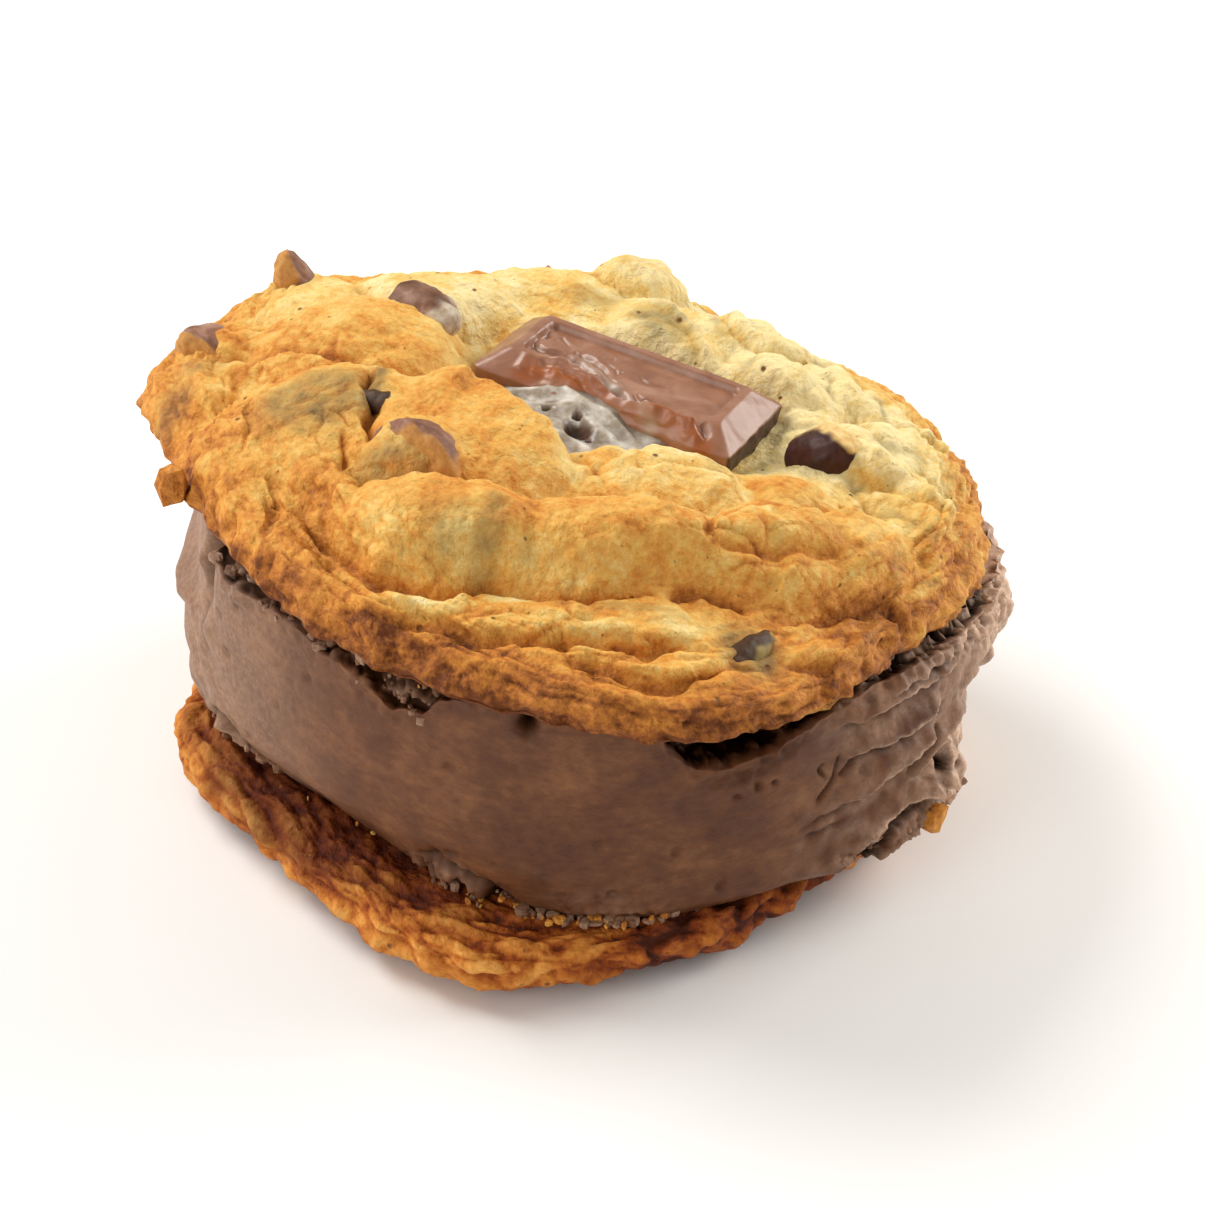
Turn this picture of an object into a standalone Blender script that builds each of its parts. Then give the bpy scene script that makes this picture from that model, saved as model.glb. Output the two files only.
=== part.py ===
"""Ice cream sandwich: two soft chocolate chip cookies round a thick slab of chocolate ice cream.

The top cookie lies a little tilted, dome up, with a section of milk chocolate bar pressed into
a hollow of melted marshmallow.  The bottom cookie lies dome down, on a flat spot.
Lengths are in millimetres until to_metres() scales each finished mesh.  The origin is the middle
of the flat spot, +Z is up, and +X runs to the right of someone who faces the cut-off bar end.
"""

import math

import bmesh
import bpy
import numpy as np
from mathutils import Euler, Matrix, Vector

METRES_PER_MM = 0.001
GAP = 0.3  # air between neighbouring solids

# Driving dimensions
TOP_RADIUS = 50.9
BOTTOM_RADIUS = 49.0
ICE_RADIUS = 47.6
BOTTOM_THICKNESS = 8.2
TOP_PLANE = 39.0  # height of the top cookie's flat underside over the origin
TOP_CENTRE = (-2.3, -0.2)
TOP_TILT_X = math.radians(-1.4)
TOP_TILT_Y = math.radians(5.9)
BAR_SIZE = (34.0, 17.6, 5.4)

# Each outline is its radius plus waves of (lobes round the edge, height, direction in degrees).
TOP_WAVES = [(1, 1.8, 293), (2, 0.9, 239), (3, 1.0, 120), (4, 1.3, 354), (5, 0.5, 12), (7, 0.8, 234)]
BOTTOM_WAVES = [(1, 0.8, 220), (2, 0.4, 96), (3, 1.4, 52), (4, 1.6, 356), (5, 1.2, 268)]
ICE_WAVES = [(1, 0.7, 15), (2, 1.4, 335), (4, 0.9, 3), (5, 0.5, 256)]

# Puffs of dough on the top cookie: x, y, half length, half width, turn in degrees, height.
PUFFS = [
    (-9.0, -36.5, 12.0, 8.5, 5, 4.6),
    (8.5, -34.5, 13.0, 8.0, -3, 4.4),
    (24.5, -31.0, 12.0, 8.0, 20, 4.0),
    (37.0, -20.0, 11.0, 8.0, 48, 3.6),
    (43.0, -4.0, 9.0, 7.0, 80, 3.0),
    (-24.5, -32.0, 11.0, 8.0, -30, 3.6),
    (-37.0, -21.0, 11.0, 8.5, -60, 4.0),
    (-25.0, -18.5, 17.0, 10.5, 22, 4.4),
    (-7.5, -15.5, 10.5, 8.5, -48, 4.8),
    (10.5, -18.5, 10.0, 6.5, -12, 3.0),
    (25.0, -17.5, 7.5, 6.0, 30, 2.6),
    (-27.5, 6.5, 16.0, 12.0, 10, 4.2),
    (-36.0, 19.0, 10.0, 9.0, -50, 3.4),
    (-19.0, 22.5, 12.0, 10.0, 20, 3.6),
    (-5.5, 30.5, 12.0, 10.0, -10, 3.8),
    (8.0, 36.5, 9.0, 7.5, -20, 5.6),
    (10.5, 21.0, 9.0, 7.5, -60, 3.4),
    (22.0, 25.0, 11.0, 9.0, -25, 3.6),
    (28.5, 12.5, 8.0, 7.0, -35, 3.0),
    (36.0, 17.0, 8.5, 7.0, -50, 3.2),
    (39.5, 6.0, 7.0, 6.0, -70, 2.8),
    (30.5, -3.5, 6.5, 6.0, 0, 3.6),
    (-44.0, 5.0, 7.0, 6.5, 80, 3.2),
]
# Hollows, given the same way, with their depth last: the bar's bed and the marshmallow's.
HOLLOWS = [
    (5.4, 3.6, 22.5, 13.0, -22.5, 2.6),
    (-1.0, -5.0, 10.5, 8.0, -30, 2.4),
]


def outline(radius, waves, angle):
    """The radius at an angle: the mean plus one cosine for each wave."""
    return radius + sum(high * np.cos(count * angle - math.radians(at)) for count, high, at in waves)


def smooth_step(share):
    """Rises from 0 to 1 with a level start and end."""
    share = np.clip(share, 0.0, 1.0)
    return share * share * (3 - 2 * share)


def oval_distance(x, y, centre_x, centre_y, half_long, half_wide, turn):
    """How far a point is from a turned oval's centre, 1 on the oval itself."""
    cosine = math.cos(math.radians(turn))
    sine = math.sin(math.radians(turn))
    along = (x - centre_x) * cosine + (y - centre_y) * sine
    across = (y - centre_y) * cosine - (x - centre_x) * sine
    return np.hypot(along / half_long, across / half_wide)


def crown(x, y):
    """Height of the top cookie's upper skin: a dome, with round puffs that meet in creases."""
    rim_height = 5.2
    dome_rise = 5.3
    dome_share = 0.45  # the dome rises over this share of the radius, counted from the rim
    share = np.hypot(x, y) / outline(TOP_RADIUS, TOP_WAVES, np.arctan2(y, x))
    height = rim_height + dome_rise * smooth_step((1 - share) / dome_share)
    puff = 0.0
    for *oval, high in PUFFS:
        distance = oval_distance(x, y, *oval)
        puff = np.maximum(puff, high * np.sqrt(np.clip(1 - distance**2, 0, None)))
    height = height + puff * smooth_step((1 - share) / 0.12)
    for *oval, deep in HOLLOWS:
        edge = smooth_step((1.15 - oval_distance(x, y, *oval)) / 0.35)
        height = height - edge * (deep + 0.75 * puff)
    return height


def material(name, red, green, blue, roughness):
    """A plain finish: base colour and roughness."""
    made = bpy.data.materials.new(name)
    made.use_nodes = True
    shader = made.node_tree.nodes["Principled BSDF"]
    shader.inputs["Base Color"].default_value = (red, green, blue, 1)
    shader.inputs["Roughness"].default_value = roughness
    shader.inputs["Metallic"].default_value = 0
    return made


def to_metres(name, work, finish, parent=None):
    """Turns a bmesh in millimetres into a named object in metres, on its parent."""
    work.transform(Matrix.Scale(METRES_PER_MM, 4))
    mesh = bpy.data.meshes.new(name)
    work.to_mesh(mesh)
    work.free()
    mesh.shade_smooth()
    mesh.set_sharp_from_angle(angle=math.radians(50))
    mesh.materials.append(finish)
    made = bpy.data.objects.new(name, mesh)
    bpy.context.scene.collection.objects.link(made)
    made.parent = parent
    return made


def wrapped_ball(around, rings, skin):
    """A UV sphere whose every vertex is moved to skin(angle, ring share from top to bottom)."""
    work = bmesh.new()
    bmesh.ops.create_uvsphere(work, u_segments=around, v_segments=rings, radius=1)
    for vertex in work.verts:
        angle = math.atan2(vertex.co.y, vertex.co.x)
        share = math.acos(max(-1.0, min(1.0, vertex.co.z))) / math.pi
        vertex.co = Vector(skin(angle, share))
    return work


def disc_point(angle, share, radius, edge, widest, top_height, base_height):
    """A point of a disc's skin: across the top, round the rim, and back under it.

    top_height(x, y) gives the upper skin and base_height(part of the radius) the underside.  edge
    is how far the rim's round reaches in, and widest the share of its height where it is widest.
    """
    top_end, rim_end = 0.62, 0.80
    inner = radius - edge
    if share <= top_end:
        reach = inner * (share / top_end) ** 0.9
        x, y = reach * math.cos(angle), reach * math.sin(angle)
        return x, y, float(top_height(x, y))
    if share < rim_end:
        turn = math.pi / 2 - math.pi * (share - top_end) / (rim_end - top_end)
        upper = float(top_height(inner * math.cos(angle), inner * math.sin(angle)))
        lower = base_height(inner / radius)
        reach = inner + edge * math.cos(turn)
        middle = lower + widest * (upper - lower)
        height = middle + math.sin(turn) * (upper - middle if turn > 0 else middle - lower)
        return reach * math.cos(angle), reach * math.sin(angle), height
    reach = inner * (1 - (share - rim_end) / (1 - rim_end))
    return reach * math.cos(angle), reach * math.sin(angle), base_height(reach / radius)


def make_top_cookie(pose, dough):
    """The domed cookie on top, flat side down."""

    def skin(angle, share):
        radius = float(outline(TOP_RADIUS, TOP_WAVES, angle))
        return disc_point(angle, share, radius, 2.8, 0.22, crown, lambda part: 0.0)

    return to_metres("cookie_top", wrapped_ball(60, 25, skin), dough, pose)


def make_bottom_cookie(dough):
    """The cookie underneath, turned over: flat side up, its dome pressed flat where it rests."""
    rest_share = 0.74
    rim_lift = 2.2

    def top_height(x, y):
        share = math.hypot(x, y) / BOTTOM_RADIUS
        return BOTTOM_THICKNESS - 1.0 * float(smooth_step((share - 0.86) / 0.14))

    def base_height(part):
        return rim_lift * float(smooth_step((part - rest_share) / (1 - rest_share)))

    def skin(angle, share):
        radius = float(outline(BOTTOM_RADIUS, BOTTOM_WAVES, angle))
        return disc_point(angle, share, radius, 2.6, 0.7, top_height, base_height)

    return to_metres("cookie_bottom", wrapped_ball(50, 16, skin), dough)


def make_ice_cream(finish):
    """The slab between the cookies: from the bottom cookie up to the tilted top one."""
    base = BOTTOM_THICKNESS + GAP
    rise = Euler((TOP_TILT_X, TOP_TILT_Y, 0)).to_matrix() @ Vector((0, 0, 1))
    bottom_end, side_end = 0.24, 0.76

    def ceiling(x, y):
        lean = rise.x * (x - TOP_CENTRE[0]) + rise.y * (y - TOP_CENTRE[1])
        return TOP_PLANE - GAP / rise.z - lean / rise.z

    def near(angle, middle, half):
        """1 at an angle of middle degrees, falling to 0 at half degrees from it."""
        apart = (math.degrees(angle) - middle + 180) % 360 - 180
        return float(smooth_step(1 - abs(apart) / half))

    def side(angle, up):
        """The radius at a share of the height: a slight belly, an undercut and a bulge."""
        radius = float(outline(ICE_RADIUS, ICE_WAVES, angle))
        radius += 0.8 * math.sin(math.pi * up) - 0.8
        radius -= 3.6 * near(angle, 232, 55) * float(smooth_step(1 - up / 0.22))
        bulge = float(smooth_step((up - 0.36) / 0.3) - 0.55 * smooth_step((up - 0.8) / 0.2))
        radius += 3.2 * near(angle, -4, 24) * bulge
        radius -= 4.5 * near(angle, 293, 16) * float(smooth_step((up - 0.82) / 0.18))
        radius -= 1.6 * near(angle, 197, 9) * float(smooth_step((up - 0.3) / 0.4))
        return radius

    def skin(angle, share):
        if share < bottom_end:
            reach = side(angle, 1.0) * share / bottom_end
            x, y = reach * math.cos(angle), reach * math.sin(angle)
            return x, y, ceiling(x, y)
        if share <= side_end:
            up = 1 - (share - bottom_end) / (side_end - bottom_end)
            reach = side(angle, up)
            x, y = reach * math.cos(angle), reach * math.sin(angle)
            return x, y, base + (ceiling(x, y) - base) * up
        reach = side(angle, 0.0) * (1 - share) / (1 - side_end)
        return reach * math.cos(angle), reach * math.sin(angle), base

    return to_metres("ice_cream", wrapped_ball(50, 20, skin), finish)


def bar_mesh(extra=0.0):
    """One section of a chocolate bar: a low block with sloped sides and a shallow tray on top."""
    length, width, height = BAR_SIZE
    slope = 3.2
    foot = 3.0  # the straight part under the slopes
    work = bmesh.new()
    outer = bmesh.ops.create_cube(work, size=1)["verts"]
    size = (length + 2 * extra, width + 2 * extra, foot + extra)
    bmesh.ops.scale(work, vec=size, verts=outer)
    bmesh.ops.translate(work, vec=(0, 0, (foot - extra) / 2), verts=outer)
    lid = max(work.faces, key=lambda face: face.calc_center_median().z)
    raised = bmesh.ops.extrude_face_region(work, geom=[lid])["geom"]
    bmesh.ops.delete(work, geom=[lid], context="FACES_ONLY")
    tops = [item for item in raised if isinstance(item, bmesh.types.BMVert)]
    share = (1 - 2 * slope / length, 1 - 2 * slope / width, 1)
    bmesh.ops.scale(work, vec=share, verts=tops)
    bmesh.ops.translate(work, vec=(0, 0, height - foot), verts=tops)
    if not extra:
        panel = next(item for item in raised if isinstance(item, bmesh.types.BMFace))
        bmesh.ops.inset_individual(work, faces=[panel], thickness=1.2, depth=0)
        bmesh.ops.inset_individual(work, faces=[panel], thickness=0.7, depth=-0.6)
    return work


def make_bar(pose, chocolate):
    """The bar section, its foot sunk in the dough and its far end a little higher."""
    made = to_metres("chocolate_bar_piece", bar_mesh(), chocolate, pose)
    return placed_on_bar_bed(made)


def placed_on_bar_bed(made):
    """Puts an object where the bar lies, in the top cookie's frame."""
    made.location = Vector((5.4, 4.1, 8.5)) * METRES_PER_MM
    made.rotation_euler = Euler((math.radians(0.5), math.radians(0.5), math.radians(-22.5)))
    return made


def marshmallow_mesh(extra=0.0):
    """A flattened pool of melted marshmallow, beside and under the bar."""
    work = bmesh.new()
    bmesh.ops.create_uvsphere(work, u_segments=24, v_segments=10, radius=1)
    bmesh.ops.scale(work, vec=(11.5 + extra, 9.5 + extra, 2.8 + extra), verts=work.verts)
    bmesh.ops.rotate(work, matrix=Matrix.Rotation(math.radians(-30), 3, "Z"), verts=work.verts)
    bmesh.ops.translate(work, vec=(-0.6, -3.6, 7.6), verts=work.verts)
    return work


# Chocolate chips: name, cookie, place, size across and tall, and how they lean.
TOP_CHIPS = [
    ("chip_back_left_tip", (-36.2, 21.8, 7.4), 7.4, 6.4, (-4, -20, 0)),
    ("chip_left_edge", (-43.6, 5.6, 6.0), 8.8, 5.4, (0, -34, 10)),
    ("chip_behind_bar", (-22.2, 14.6, 10.6), 8.2, 8.4, (66, 0, 48)),
    ("chip_in_crack", (-24.4, -12.4, 11.0), 7.6, 5.2, (0, 24, -60)),
    ("chip_dome", (-17.2, -18.6, 10.0), 10.4, 6.0, (8, 0, 0)),
    ("chip_right", (29.4, -3.2, 9.0), 8.6, 6.8, (42, 12, 0)),
    ("chip_front_edge", (19.6, -41.2, 3.6), 8.0, 5.6, (48, 6, 0)),
    ("chip_far_back", (-8.0, 43.4, 4.5), 7.6, 5.6, (-68, 0, 0)),
    ("chip_back_right", (28.6, 33.8, 4.5), 7.6, 5.6, (-70, 0, -38)),
]
BOTTOM_CHIPS = [
    ("chip_bottom_left", (-12.3, -46.2, 7.6), 6.6, 5.0, (156, 0, 0)),
    ("chip_bottom_front", (1.8, -47.2, 7.2), 6.2, 4.6, (150, 0, 0)),
    ("chip_bottom_right", (44.0, 12.0, 4.6), 6.4, 5.6, (0, 96, 16)),
    ("chip_bottom_back", (-8.0, 43.2, 4.6), 6.4, 5.6, (-96, 0, 0)),
]


def chip_mesh(across, tall, extra=0.0):
    """A chocolate drop: a round foot and a body that narrows to a soft point."""
    def skin(angle, share):
        depth = 1 - share
        if share > 0.62:
            reach = math.cos((share - 0.62) / 0.38 * math.pi / 2) ** 0.6
            height = 0.12 * math.cos((share - 0.62) / 0.38 * math.pi)
        else:
            reach = math.sin(share / 0.62 * math.pi / 2)
            height = 0.12 + 0.88 * (1 - reach**1.5) ** 0.8
        wide = reach * (across / 2 + extra)
        lift = extra if share > 0.62 else -extra * (depth - 0.38) / 0.62
        return wide * math.cos(angle), wide * math.sin(angle), height * tall - lift

    return wrapped_ball(10, 7, skin)


def make_chips(rows, pose, chocolate):
    """The chips that show on one cookie."""
    return [place_chip(row, pose, chocolate, row[0]) for row in rows]


def place_chip(row, pose, finish, name, extra=0.0):
    """One chip, or with extra its larger pocket, at its place in the dough."""
    _, place, across, tall, lean = row
    made = to_metres(name, chip_mesh(across, tall, extra), finish, pose)
    made.location = Vector(place) * METRES_PER_MM
    made.rotation_euler = Euler([math.radians(turn) for turn in lean])
    return made


def carve(target, pockets):
    """Cuts every pocket from the target with one exact Boolean, and hides the cutters."""
    cutters = bpy.data.collections.new(target.name + "_pockets")
    for pocket in pockets:
        pocket.hide_render = True
        pocket.display_type = "WIRE"
        cutters.objects.link(pocket)
    bpy.context.scene.collection.children.link(cutters)
    cut = target.modifiers.new("pockets", "BOOLEAN")
    cut.operation = "DIFFERENCE"
    cut.operand_type = "COLLECTION"
    cut.collection = cutters
    cut.solver = "EXACT"


def main():
    for old in list(bpy.data.objects):
        bpy.data.objects.remove(old)
    top_dough = material("golden_dough", 0.78, 0.47, 0.17, 0.75)
    bottom_dough = material("browned_dough", 0.52, 0.24, 0.08, 0.75)
    ice = material("chocolate_ice_cream", 0.25, 0.13, 0.09, 0.55)
    milk = material("milk_chocolate", 0.22, 0.08, 0.05, 0.3)
    dark = material("dark_chocolate", 0.09, 0.04, 0.03, 0.35)
    white = material("melted_marshmallow", 0.75, 0.72, 0.68, 0.35)

    pose = bpy.data.objects.new("top_cookie_pose", None)
    bpy.context.scene.collection.objects.link(pose)
    pose.location = Vector((*TOP_CENTRE, TOP_PLANE)) * METRES_PER_MM
    pose.rotation_euler = Euler((TOP_TILT_X, TOP_TILT_Y, 0))

    cookie_top = make_top_cookie(pose, top_dough)
    cookie_bottom = make_bottom_cookie(bottom_dough)
    make_ice_cream(ice)
    make_bar(pose, milk)
    marshmallow = to_metres("marshmallow", marshmallow_mesh(), white, pose)
    make_chips(TOP_CHIPS, pose, dark)
    make_chips(BOTTOM_CHIPS, None, dark)

    bar_pocket = placed_on_bar_bed(to_metres("bar_pocket", bar_mesh(GAP), milk, pose))
    pool_pocket = to_metres("marshmallow_pocket", marshmallow_mesh(GAP), white, pose)
    top_pockets = [place_chip(row, pose, dark, row[0] + "_pocket", GAP) for row in TOP_CHIPS]
    carve(cookie_top, [bar_pocket, pool_pocket, *top_pockets])
    carve(cookie_bottom, [place_chip(row, None, dark, row[0] + "_pocket", GAP) for row in BOTTOM_CHIPS])
    bar_in_pool = placed_on_bar_bed(to_metres("bar_in_pool", bar_mesh(GAP), milk, pose))
    carve(marshmallow, [bar_in_pool])


main()
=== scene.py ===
import itertools
import math

import bpy
import numpy as np
from mathutils import Matrix, Vector


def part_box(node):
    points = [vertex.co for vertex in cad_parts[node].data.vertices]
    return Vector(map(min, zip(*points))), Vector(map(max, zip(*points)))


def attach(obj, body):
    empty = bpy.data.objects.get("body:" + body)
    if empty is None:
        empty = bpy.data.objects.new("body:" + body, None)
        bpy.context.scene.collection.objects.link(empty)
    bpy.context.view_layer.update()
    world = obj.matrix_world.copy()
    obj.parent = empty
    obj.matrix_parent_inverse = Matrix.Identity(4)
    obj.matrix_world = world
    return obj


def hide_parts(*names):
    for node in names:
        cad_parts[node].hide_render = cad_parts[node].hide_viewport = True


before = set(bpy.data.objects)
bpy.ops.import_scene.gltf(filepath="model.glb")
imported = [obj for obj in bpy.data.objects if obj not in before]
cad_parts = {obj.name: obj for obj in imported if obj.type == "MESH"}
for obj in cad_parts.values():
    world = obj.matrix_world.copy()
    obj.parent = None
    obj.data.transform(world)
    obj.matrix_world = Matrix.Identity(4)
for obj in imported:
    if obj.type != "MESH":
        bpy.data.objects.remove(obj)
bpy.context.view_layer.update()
MM = 0.001  # the shapes below are worked out in millimetres


# ---- Bottom cookie ---------------------------------------------------------------------------
# A large soft cookie, turned over so that its flat, browned underside holds the ice cream and its
# dome rests on the table. Baked on a tray: the sugar at its thin rim has set into brown wrinkles.

def scatter(i, j, k, seed):
    """A repeatable share from 0 to 1 for each lattice cell: its whole numbers multiplied by large
    primes, mixed by exclusive or, and cut to 32 bits."""
    mixed = (i * 73856093) ^ (j * 19349663) ^ (k * 83492791) ^ (seed * 2654435761)
    mixed = ((mixed ^ (mixed >> 13)) & 0xFFFFFFFF) * 1274126177 & 0xFFFFFFFF
    mixed = ((mixed ^ (mixed >> 16)) * 40503) & 0xFFFFFFFF
    return mixed / 4294967296.0


def clouds(place, size, seed):
    """Smooth noise from about -1 to 1 at points in mm: a random slope at each corner of a lattice
    of that size, blended between the corners by the curve 6t^5 - 15t^4 + 10t^3."""
    cell = np.floor(place / size).astype(np.int64)
    inside = place / size - cell
    fade = inside**3 * (inside * (inside * 6 - 15) + 10)
    total = np.zeros(place.shape[:-1])
    for corner in itertools.product((0, 1), repeat=3):
        at = [cell[..., axis] + corner[axis] for axis in range(3)]
        slopes = [scatter(*at, seed + 31 * axis) * 2 - 1 for axis in range(3)]
        rise = sum(slopes[axis] * (inside[..., axis] - corner[axis]) for axis in range(3))
        for axis in range(3):
            rise = rise * (fade[..., axis] if corner[axis] else 1 - fade[..., axis])
        total += rise
    return total * 1.7


def grains(place, size, seed):
    """How far each point is from the nearest and the second nearest of the seeds strewn one to a
    lattice cell, both counted in cells."""
    cell = np.floor(place / size).astype(np.int64)
    inside = place / size - cell
    nearest = np.full(place.shape[:-1], 9.0)
    second = nearest.copy()
    for step in itertools.product((-1, 0, 1), repeat=3):
        at = [cell[..., axis] + step[axis] for axis in range(3)]
        gaps = [step[axis] + scatter(*at, seed + 17 * axis) - inside[..., axis] for axis in range(3)]
        apart = np.sqrt(gaps[0] ** 2 + gaps[1] ** 2 + gaps[2] ** 2)
        second = np.minimum(second, np.maximum(nearest, apart))
        nearest = np.minimum(nearest, apart)
    return nearest, second


def bell(share):
    """The bell curve: 1 at 0, and 0.37 at 1."""
    return np.exp(-(share**2))


def step_up(share):
    """Rises from 0 to 1 with a level start and end: 3t^2 - 2t^3."""
    share = np.clip(share, 0.0, 1.0)
    return share * share * (3 - 2 * share)


def near(turn, middle, half):
    """1 at an angle of middle degrees, falling to 0 at half degrees from it."""
    apart = (np.degrees(turn) - middle + 180) % 360 - 180
    return step_up(1 - np.abs(apart) / half)


def relief(place, *layers):
    """Layers of smooth noise added up, each given as its height, its size in mm and its seed."""
    return sum(height * clouds(place, size, seed) for height, size, seed in layers)


def cad_points(node):
    """A CAD node's vertices, in mm."""
    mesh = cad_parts[node].data
    points = np.zeros(len(mesh.vertices) * 3)
    mesh.vertices.foreach_get("co", points)
    return points.reshape(-1, 3) / MM


def cad_outline(offsets, waves=8):
    """A function that gives the outline's radius at any angle: the furthest CAD vertex in each of
    40 sectors round the middle, smoothed to its first few waves round the edge."""
    sectors = 40
    turn = np.arctan2(offsets[:, 1], offsets[:, 0]) % (2 * math.pi)
    furthest = np.zeros(sectors)
    np.maximum.at(furthest, (turn / (2 * math.pi) * sectors).astype(int) % sectors,
                  np.hypot(offsets[:, 0], offsets[:, 1]))
    share = np.fft.rfft(furthest) / sectors
    centre = math.pi / sectors  # a sector's furthest vertex lies, on average, at its middle

    def radius(angle):
        total = np.full(np.shape(angle), share[0].real)
        for count in range(1, waves + 1):
            total = total + 2 * (share[count] * np.exp(1j * count * (angle - centre))).real
        return total

    return radius


def disc_skin(angle, radius, edge, widest, top, base, reaches, rim_rows, base_rows):
    """A disc's skin, row by row: out over the top, down round the rim and back underneath.

    Over the top a row lies at a share of the way to where the rim turns, at height top(x, y).  Round
    the rim, over half a turn, the reach grows by edge times the cosine, and the height follows the
    sine, stretched so that the widest place is at that share of it.  Underneath it is base(part)."""
    inner = radius - edge
    rows = []
    for share in reaches:
        x, y = share * inner * np.cos(angle), share * inner * np.sin(angle)
        rows.append(np.stack([x, y, top(x, y)], -1))
    upper, lower = rows[-1][:, 2], base(inner / radius)
    middle = lower + widest * (upper - lower)
    for turn in np.linspace(math.pi / 2, -math.pi / 2, rim_rows + 2)[1:-1]:
        span = upper - middle if turn > 0 else middle - lower
        reach = inner + edge * math.cos(turn)
        x, y = reach * np.cos(angle), reach * np.sin(angle)
        rows.append(np.stack([x, y, middle + math.sin(turn) * span], -1))
    for share in np.linspace(1, 0, base_rows):
        x, y = share * inner * np.cos(angle), share * inner * np.sin(angle)
        rows.append(np.stack([x, y, base(share * inner / radius)], -1))
    return np.array(rows)


def measured(skin, angle, outline):
    """Each point's angle, its reach from the middle, how far inside the outline it lies, and the
    way its skin faces."""
    turn = np.broadcast_to(angle, skin.shape[:2])
    reach = np.hypot(skin[..., 0], skin[..., 1])
    return turn, reach, outline(turn) - reach, outward(skin)


def outward(grid):
    """Unit normals of a skin of rows and columns: the step down the rows crossed with the step
    round the columns, and at each pole the mean of the row beside it."""
    down = np.gradient(grid, axis=0)
    onward = np.roll(grid, -1, axis=1) - np.roll(grid, 1, axis=1)
    normal = np.cross(down, onward)
    normal[0], normal[-1] = normal[1].mean(0), normal[-2].mean(0)
    return normal / np.maximum(np.linalg.norm(normal, axis=-1, keepdims=True), 1e-9)


def placed(name, data):
    """A new object of that mesh, light or camera, in the scene."""
    made = bpy.data.objects.new(name, data)
    bpy.context.scene.collection.objects.link(made)
    return made


def closed_skin(name, grid, finish, **shades):
    """A closed mesh from a grid in mm whose rows run from pole to pole and whose columns go round
    anticlockwise: quads between rows, a fan at each pole, and each shade as a point attribute."""
    rows, around = grid.shape[:2]

    def flat(values):
        return np.concatenate([values[:1, 0], values[1:-1].reshape(-1, *values.shape[2:]), values[-1:, 0]])

    points = flat(grid) * MM
    row, column = np.meshgrid(np.arange(rows - 3), np.arange(around), indexing="ij")
    here, beside = 1 + row * around + column, 1 + row * around + (column + 1) % around
    quads = np.stack([here, here + around, beside + around, beside], -1).reshape(-1)
    turn = np.arange(around)
    last = 1 + (rows - 3) * around
    first_fan = np.stack([0 * turn, 1 + turn, 1 + (turn + 1) % around], -1).reshape(-1)
    last_fan = np.stack([0 * turn + len(points) - 1, last + (turn + 1) % around, last + turn], -1).reshape(-1)
    corners = np.concatenate([quads, first_fan, last_fan])
    sizes = np.concatenate([np.full(len(quads) // 4, 4), np.full(2 * around, 3)])
    mesh = bpy.data.meshes.new(name)
    mesh.vertices.add(len(points))
    mesh.vertices.foreach_set("co", points.reshape(-1))
    mesh.loops.add(len(corners))
    mesh.loops.foreach_set("vertex_index", corners)
    mesh.polygons.add(len(sizes))
    mesh.polygons.foreach_set("loop_start", np.concatenate([[0], np.cumsum(sizes)[:-1]]))
    mesh.update(calc_edges=True)
    mesh.validate()
    mesh.shade_smooth()
    for shade, values in shades.items():
        mesh.attributes.new(shade, "FLOAT", "POINT").data.foreach_set("value", flat(values))
    mesh.materials.append(finish)
    return placed(name, mesh)


def to_linear(hex_colour):
    """An sRGB hex colour as linear red, green, blue and 1."""
    shares = [int(hex_colour[place:place + 2], 16) / 255 for place in (1, 3, 5)]
    return (*[s / 12.92 if s <= 0.04045 else ((s + 0.055) / 1.055) ** 2.4 for s in shares], 1.0)


OF_COLOURS = {"output": 2, "data_type": "RGBA"}  # a Mix node of colours: inputs 6 and 7, output 2


def feed(tree, node, inputs):
    """Fills a node's inputs, by name or number: an output as a link, anything else as it is."""
    for name, value in inputs.items():
        if isinstance(value, bpy.types.NodeSocket):
            tree.links.new(value, node.inputs[name])
        else:
            node.inputs[name].default_value = value


def add(tree, kind, inputs=None, stops=None, output=0, **settings):
    """Adds a node with its settings, its inputs and a ramp's stops, and returns one output."""
    node = tree.nodes.new("ShaderNode" + kind)
    for name, value in settings.items():
        setattr(node, name, value)
    feed(tree, node, inputs or {})
    if stops:
        ramp = node.color_ramp
        while len(ramp.elements) < len(stops):
            ramp.elements.new(1.0)
        for element, (position, colour) in zip(ramp.elements, stops):
            element.position = position
            element.color = to_linear(colour)
    return node.outputs[output]


def new_finish(name):
    """A new material, its node tree, its shader and its object coordinates."""
    made = bpy.data.materials.new(name)
    made.use_nodes = True
    tree = made.node_tree
    return made, tree, tree.nodes["Principled BSDF"], add(tree, "TexCoord", output="Object")


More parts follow.
